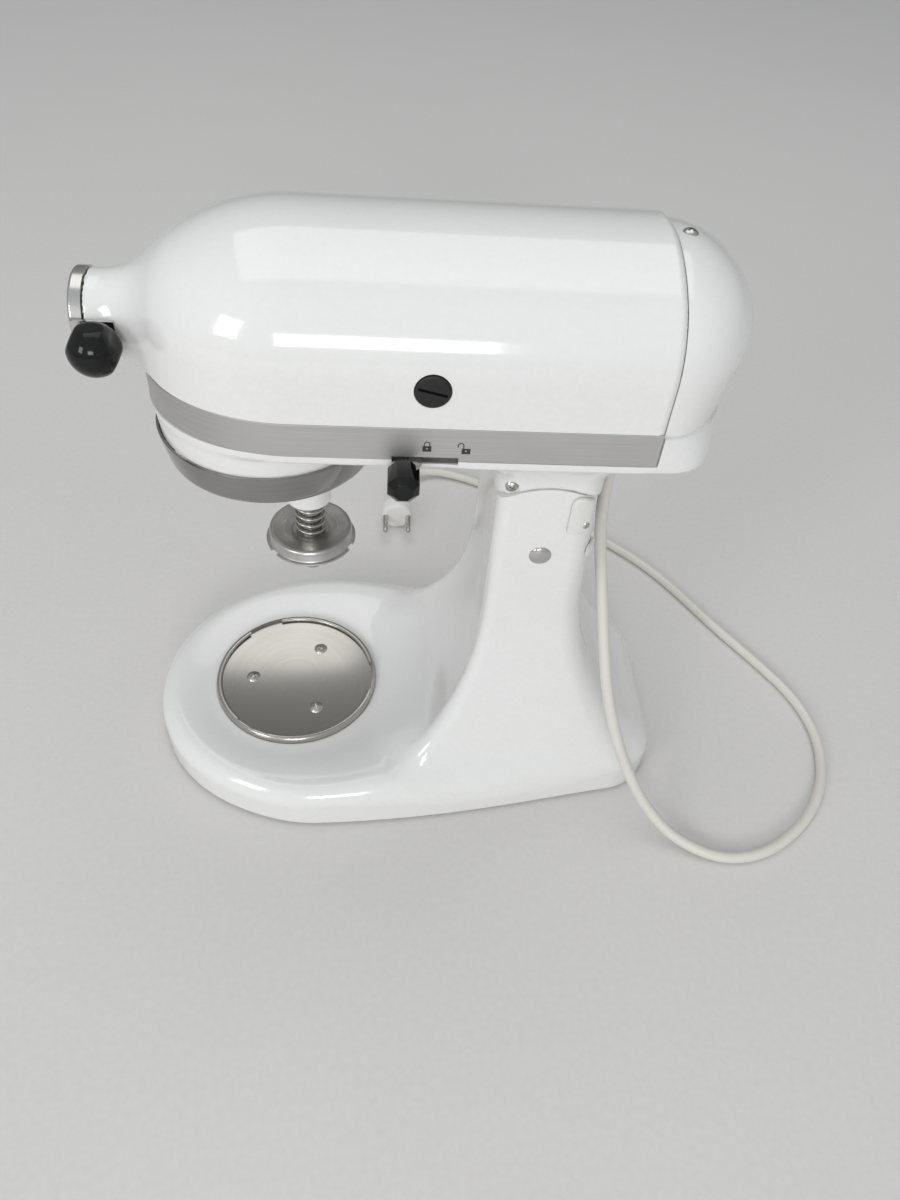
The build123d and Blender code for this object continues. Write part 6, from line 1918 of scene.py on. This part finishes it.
    def make_lower(self) -> None:
        """Cast the lower housing, with its tongue, bores and slots."""
        outer = Casting(self.lower, (-138.0, -66.0, 212.0), (160.0, 66.0, 294.0), 1.8)
        cavity = Casting(self.lower_cavity, (-136.0, -64.0, 256.0), (158.0, 64.0, 304.0), 3.0)
        mesh = carve(
            outer.mesh(),
            cavity.mesh(),
            box((-150.0, -80.0, self.parting_z), (self.cover_x, 80.0, 310.0)),
            box((100.0, -80.0, self.cover_low_z), (160.0, 80.0, 310.0)),
        )
        mesh = carve(mesh, self.tongue(), cut=Cut.JOIN)
        screw_x, screw_y, screw_z = BLOCK_SCREW
        openings = (LOCK_SLOT, SPEED_SLOT, LOCK_WELL, SPEED_WELL)
        mesh = carve(
            mesh,
            rod(HINGE, self.pin_radius, (-60.0, 60.0), Turn.Y, 48),
            rod(BOWL_CENTRE, self.planetary_radius, self.planetary_z, Turn.Z, 120),
            rod(BOWL_CENTRE, self.shaft_radius, self.shaft_z, Turn.Z),
            rod(CORD_HOLE, self.cord_radius, self.cord_z, Turn.Z, 40),
            box(*self.block_pocket),
            rod((screw_x, screw_z), self.screw_seat, (-70.0, screw_y), Turn.Y, 40),
            *[box(*opening) for opening in openings],
        )
        mesh = polish(sharp_by_angle(mesh, 38.0), self.lower)
        add_piece("lower_shell", mesh, "head", "white_enamel", ["lower_housing"])

    def tongue(self) -> Mesh:
        """Tongue that hangs from the pivot block round the hinge pin.

        Returns:
            The solid.
        """
        x, half, top = HINGE[0], self.tongue_half, self.tongue_top_z
        start = math.acos(half / self.tongue_eye)
        outline = [(x + half, top), (x - half, top)]
        steps = 40
        for step in range(steps + 1):
            angle = math.pi - start + (math.pi + 2 * start) * step / steps
            outline.append(polar(HINGE, self.tongue_eye, angle))
        return prism(outline, -self.tongue_wide, self.tongue_wide, Turn.Y)

    def make_band(self) -> None:
        """Brushed band with eased edges and a UV map along it."""
        outer, inner = self.half + self.band_proud, self.half - self.band_recess + self.band_gap
        (low, high), edge = self.band_z, self.band_edge
        corners = [(outer - edge, low), (outer, low + edge), (outer, high - edge)]
        corners += [(outer - edge, high), (inner, high), (inner, low)]
        outlines = [head_outline(half, self.band_end_x, 96) for half, _ in corners]
        levels = [level for _, level in corners]
        rings = [
            [metres((*spot, level)) for spot, level in zip(station, levels)]
            for station in zip(*outlines)
        ]
        mesh = swept(rings, metres(distances(outlines[1])), metres([*levels, levels[0]]))
        mesh = carve(mesh, box(*LOCK_SLOT), box(*SPEED_SLOT))
        nodes = ["trim_band"]
        add_piece("brushed_band", sharp_by_angle(mesh, 30.0), "head", "brushed_steel", nodes)


@dataclass(frozen=True)
class Padlock:
    """Small printed padlock: a body with a keyhole and a shackle, swung aside when it is open."""

    place: Pair
    swing: float = 0.0
    lift: float = 0.0
    foot: float = 1.3
    far_foot: float = 1.3
    body: tuple[Pair, Pair] = ((-2.0, -1.6), (2.0, 1.4))
    keyhole: float = 0.45
    arch_z: float = 2.4
    outer: float = 1.5
    inner: float = 1.0
    steps: int = 20

    def meshes(self, start: float, end: float) -> list[Mesh]:
        """Make the padlock.

        Args:
            start: Where the print begins along Y.
            end: Where it ends.

        Returns:
            The body and the shackle.
        """
        x, z = self.place
        low, high = ((x + aside, z + up) for aside, up in self.body)
        body = prism(rectangle(low, high), start, end, Turn.Y)
        through = (start - 1.0, end + 1.0)
        body = carve(body, rod(self.place, self.keyhole, through, Turn.Y, self.steps))
        x, foot, far_foot = x + self.swing, z + self.foot, z + self.far_foot
        middle = (x, z + self.arch_z + self.lift)
        arc = [math.pi * step / self.steps for step in range(self.steps + 1)]
        outline = [(x + self.outer, foot), *[polar(middle, self.outer, angle) for angle in arc]]
        outline += [(x - self.outer, far_foot), (x - self.inner, far_foot)]
        outline += [polar(middle, self.inner, angle) for angle in reversed(arc)]
        outline.append((x + self.inner, foot))
        return [body, prism(outline, start, end, Turn.Y)]


@dataclass
class PrintedMarks:
    """Padlocks printed beside the lock lever and a row of ticks beside the speed lever."""

    head: Head
    proud: float = 0.07
    sunk: float = 0.3
    padlocks: tuple[Padlock, ...] = (
        Padlock((2.75, 273.2)),
        Padlock((20.4, 272.4), swing=-2.4, lift=0.6, far_foot=2.0),
    )
    ticks: int = 10
    tick_x: float = 2.0
    tick_pitch: float = 4.0
    tick_half: float = 0.35
    tick_foot_z: float = 271.0
    tick_height: float = 1.6
    tick_growth: float = 0.35

    def build(self) -> None:
        """Print the padlocks on the near side and the ticks on the far side."""
        face = self.head.half + self.head.band_proud
        parts = []
        for padlock in self.padlocks:
            parts += padlock.meshes(-face - self.proud, -face + self.sunk)
        foot = self.tick_foot_z
        for tick in range(self.ticks):
            x = self.tick_x + self.tick_pitch * tick
            top = foot + (self.tick_height + self.tick_growth * tick)
            outline = rectangle((x - self.tick_half, foot), (x + self.tick_half, top))
            parts.append(prism(outline, face - self.proud, face + self.proud, Turn.Y))
        add_piece("printed_marks", joined(parts), "head", "black_plastic", (), "printed_black")


@dataclass
class Drive:
    """Drip ring, clamp plate, beater disc, spring and hinge pin: the turned steel that shows."""

    ring_profile: Profile = (
        (56.0, 249.0), (56.4, 248.7), (56.3, 247.0), (55.2, 241.0), (54.0, 235.0),
        (53.5, 233.2), (53.0, 232.1), (52.2, 231.5), (50.0, 231.5), (50.0, 232.6),
        (51.6, 232.8), (52.4, 234.2), (54.0, 241.0), (55.2, 247.6), (55.25, 249.0),
    )
    plate_profile: Profile = (
        (0.0, 27.0), (53.6, 27.0), (54.0, 27.4), (54.0, 29.6), (53.8, 30.6), (53.4, 31.3),
        (52.8, 31.8), (52.1, 32.0), (51.2, 32.0), (50.6, 31.8), (50.2, 31.4), (50.0, 30.8),
        (50.3, 30.5), (51.6, 30.4), (51.9, 30.0), (51.7, 28.9), (51.2, 28.6), (0.0, 28.6),
    )
    plate_notch: Profile = (
        (44.0, -13.5), (52.2, -13.5), (52.2, 0.0), (52.2, 13.5), (44.0, 13.5),
    )
    disc_profile: Profile = (
        (6.45, 184.0), (6.45, 185.1), (9.4, 185.1), (9.9, 185.5), (14.0, 185.9), (18.6, 186.3),
        (19.6, 186.7), (20.6, 187.0), (21.6, 186.8), (22.2, 186.2), (22.5, 185.2), (22.5, 181.4),
        (23.0, 180.6), (24.2, 180.2), (24.4, 179.7), (24.2, 179.2), (21.6, 179.0), (20.9, 179.6),
        (20.8, 184.4), (19.0, 184.9), (9.0, 184.0),
    )
    disc_notch: Profile = ((22.6, -6.0), (30.0, -6.0), (30.0, 6.0), (22.6, 6.0))
    spring_radius: float = 7.7
    spring_wire: float = 0.75
    spring_low: float = 186.5
    spring_high: float = 205.95
    spring_turns: float = 4.0
    pin_radius: float = 6.0
    pin_half: float = 45.0
    pin_dome: float = 1.8

    def build(self) -> None:
        """Turn the ring, the plate, the disc and the pin, and wind the spring."""
        self.make_ring()
        self.make_plate()
        self.make_disc()
        self.make_spring()
        self.make_pin()

    def make_ring(self) -> None:
        """Drip ring with a rolled lower edge."""
        mesh = sharp_by_angle(lathe(self.ring_profile, BOWL_CENTRE, Turn.Z, 160), 40.0)
        add_piece("rolled_drip_ring", mesh, "head", "polished_steel", ["drip_ring"], "ring_steel")

    def make_plate(self) -> None:
        """Bowl clamp plate: a satin floor inside a bright ring whose lip has three gaps."""
        mesh = lathe(self.plate_profile, BOWL_CENTRE, Turn.Z, 160)
        turns = (0.0, 120.0, 240.0)
        mesh = notched(mesh, BOWL_CENTRE, self.plate_notch, turns, (29.6, 34.0))
        mesh = sharp_by_angle(mesh, 38.0)
        add_piece("clamp_plate", mesh, "base", "polished_steel", ["bowl_clamp_plate"])

    def make_disc(self) -> None:
        """Beater disc with a bright bead, a skirt and a flange cut into three."""
        mesh = lathe(self.disc_profile, BEATER_CENTRE, Turn.Z, 144)
        turns = (98.0, 218.0, 338.0)
        mesh = notched(mesh, BEATER_CENTRE, self.disc_notch, turns, (176.0, 181.2))
        mesh = sharp_by_angle(mesh, 38.0)
        add_piece("beater_dish", mesh, "beater", "worn_steel", ["beater_disc"])

    def make_spring(self) -> None:
        """Coil spring between the disc and the planetary boss."""
        sheet = GeometrySheet("coil_spring", ["Turns", "Coil Radius", "Wire Radius"])
        coil = sheet.entry["Coil Radius"]
        spiral = sheet.node(
            "GeometryNodeCurveSpiral",
            Resolution=40,
            Rotations=sheet.entry["Turns"],
            Start_Radius=coil,
            End_Radius=coil,
            Height=(self.spring_high - self.spring_low) * MM,
        )
        x, y, _ = BEATER_CENTRE
        line = sheet.moved(spiral.outputs["Curve"], metres((x, y, self.spring_low)))
        kind, radius = "GeometryNodeCurvePrimitiveCircle", sheet.entry["Wire Radius"]
        wire = sheet.node(kind, Resolution=12, Radius=radius).outputs["Curve"]
        kind, outline = "GeometryNodeCurveToMesh", {"Profile_Curve": wire}
        sweep = sheet.node(kind, Curve=line, Fill_Caps=True, **outline)
        sheet.close(sweep.outputs["Mesh"])
        mesh = sheet.run(
            mesh_of([(0.0, 0.0, 0.0)], []),
            Turns=self.spring_turns,
            Coil_Radius=self.spring_radius * MM,
            Wire_Radius=self.spring_wire * MM,
            Material=PAINT["zinc_screw"],
        )
        mesh = sharp_by_angle(mesh, 50.0)
        add_piece("coil_spring", mesh, "beater", "polished_steel", ["beater_spring"], "zinc_screw")

    def make_pin(self) -> None:
        """Hinge pin with domed bright ends."""
        angles = [0.5 * math.pi * step / 8 for step in range(9)]
        dome = [(self.pin_radius * math.cos(a), self.pin_dome * math.sin(a)) for a in angles]
        near = [(radius, -self.pin_half - rise) for radius, rise in reversed(dome)]
        far = [(radius, self.pin_half + rise) for radius, rise in dome]
        mesh = lathe([*near, *far], (HINGE[0], 0.0, HINGE[1]), Turn.Y, 64)
        mesh = sharp_by_angle(mesh, 50.0)
        add_piece("domed_hinge_pin", mesh, "base", "polished_steel", ["hinge_pin"], "pin_steel")


@dataclass
class Handles:
    """Levers' knobs and arms, the attachment screw's faceted ball and the brush caps."""

    knob_edge: float = 0.9
    arm_edge: float = 0.35
    ball_radius: float = 12.0
    ball_flat: float = 10.8
    ball_seat: float = 11.0
    ball_edge: float = 0.9
    cap_profile: Profile = (
        (0.0, 52.5), (7.9, 52.5), (7.9, 60.9), (7.6, 61.3), (7.1, 61.5), (0.0, 61.5),
    )
    slot_slant: float = math.radians(-14.0)
    slot_half: Pair = (6.6, 0.7)
    slot_y: Pair = (59.6, 64.0)

    def build(self) -> None:
        """Round the levers' edges, cast the ball and turn the caps."""
        for side in ("lock", "speed"):
            body, knob_node, arm_node = (f"{side}_lever{end}" for end in ("", "_knob", "_arm"))
            knob = softened(knob_node, self.knob_edge)
            add_piece(f"{side}_knob", knob, body, "black_plastic", [knob_node])
            arm = softened(arm_node, self.arm_edge)
            add_piece(f"{side}_arm", arm, body, "worn_steel", [arm_node], "zinc_screw")
        reach = self.ball_radius + 2.0
        low = tuple(value - reach for value in BALL_CENTRE)
        high = tuple(value + reach for value in BALL_CENTRE)
        mesh = polish(sharp_by_angle(Casting(self.ball, low, high, 0.7).mesh(), 50.0), self.ball)
        add_piece("faceted_ball", mesh, "ball_knob", "black_plastic", ["ball_knob"])
        for name, side in (("near_brush_cap", -1.0), ("far_brush_cap", 1.0)):
            cap = sharp_by_angle(self.brush_cap(side), 32.0)
            add_piece(f"{name}_slotted", cap, "head", "black_plastic", [name], "dark_plastic")

    def brush_cap(self, side: float) -> Mesh:
        """Round cap with an eased edge and a coin slot that stands at a slant.

        Args:
            side: -1 for the near side and 1 for the far side.

        Returns:
            The cap.
        """
        x, z = BRUSH_CENTRE
        profile = [(radius, side * y) for radius, y in self.cap_profile]
        cap = lathe(profile, (x, 0.0, z), Turn.Y, 72)
        along = Vector((math.cos(self.slot_slant), math.sin(self.slot_slant)))
        across = Vector((-along.y, along.x))
        half_length, half_width = self.slot_half
        corners = rectangle((-half_length, -half_width), (half_length, half_width))
        spots = [Vector((x, z)) + along * length + across * width for length, width in corners]
        start, end = sorted(side * y for y in self.slot_y)
        return carve(cap, prism([tuple(spot) for spot in spots], start, end, Turn.Y))

    def ball(self, points: np.ndarray) -> np.ndarray:
        """Distance from a ball with six flats round it and one towards the nose.

        Args:
            points: Rows of x, y and z.

        Returns:
            Distances, negative inside.
        """
        x, y, z = (points - np.array(BALL_CENTRE)).T
        shape = np.sqrt(x**2 + y**2 + z**2) - self.ball_radius
        for flat in range(6):
            angle = math.radians(60.0 * flat + 30.0)
            side = x * math.cos(angle) + z * math.sin(angle) - self.ball_flat
            shape = rounded_meet(shape, side, self.ball_edge)
        return rounded_meet(shape, y - self.ball_seat, self.ball_edge)


def dress_frame() -> None:
    """Give every CAD node that still shows the finish of its slot, or its own."""
    slots = {part["node"]: part["material_slot"] for part in frame["record"]["subparts"]}
    slots["hub_cap"] = "hub_steel"
    for name, node in frame["nodes"].items():
        for place in node.material_slots:
            place.material = PAINT[slots[name]]
    LOG.info("%d CAD nodes dressed", len(frame["nodes"]))


def main() -> None:
    """Build the studio and every sub-assembly."""
    logging.basicConfig(level=logging.INFO, format="%(message)s")
    Studio().build()
    dress_frame()
    for assembly in (MainsLead(), Pedestal(), Head(), Drive(), Handles(), Fasteners()):
        assembly.build()


if __name__ == "__main__":
    main()
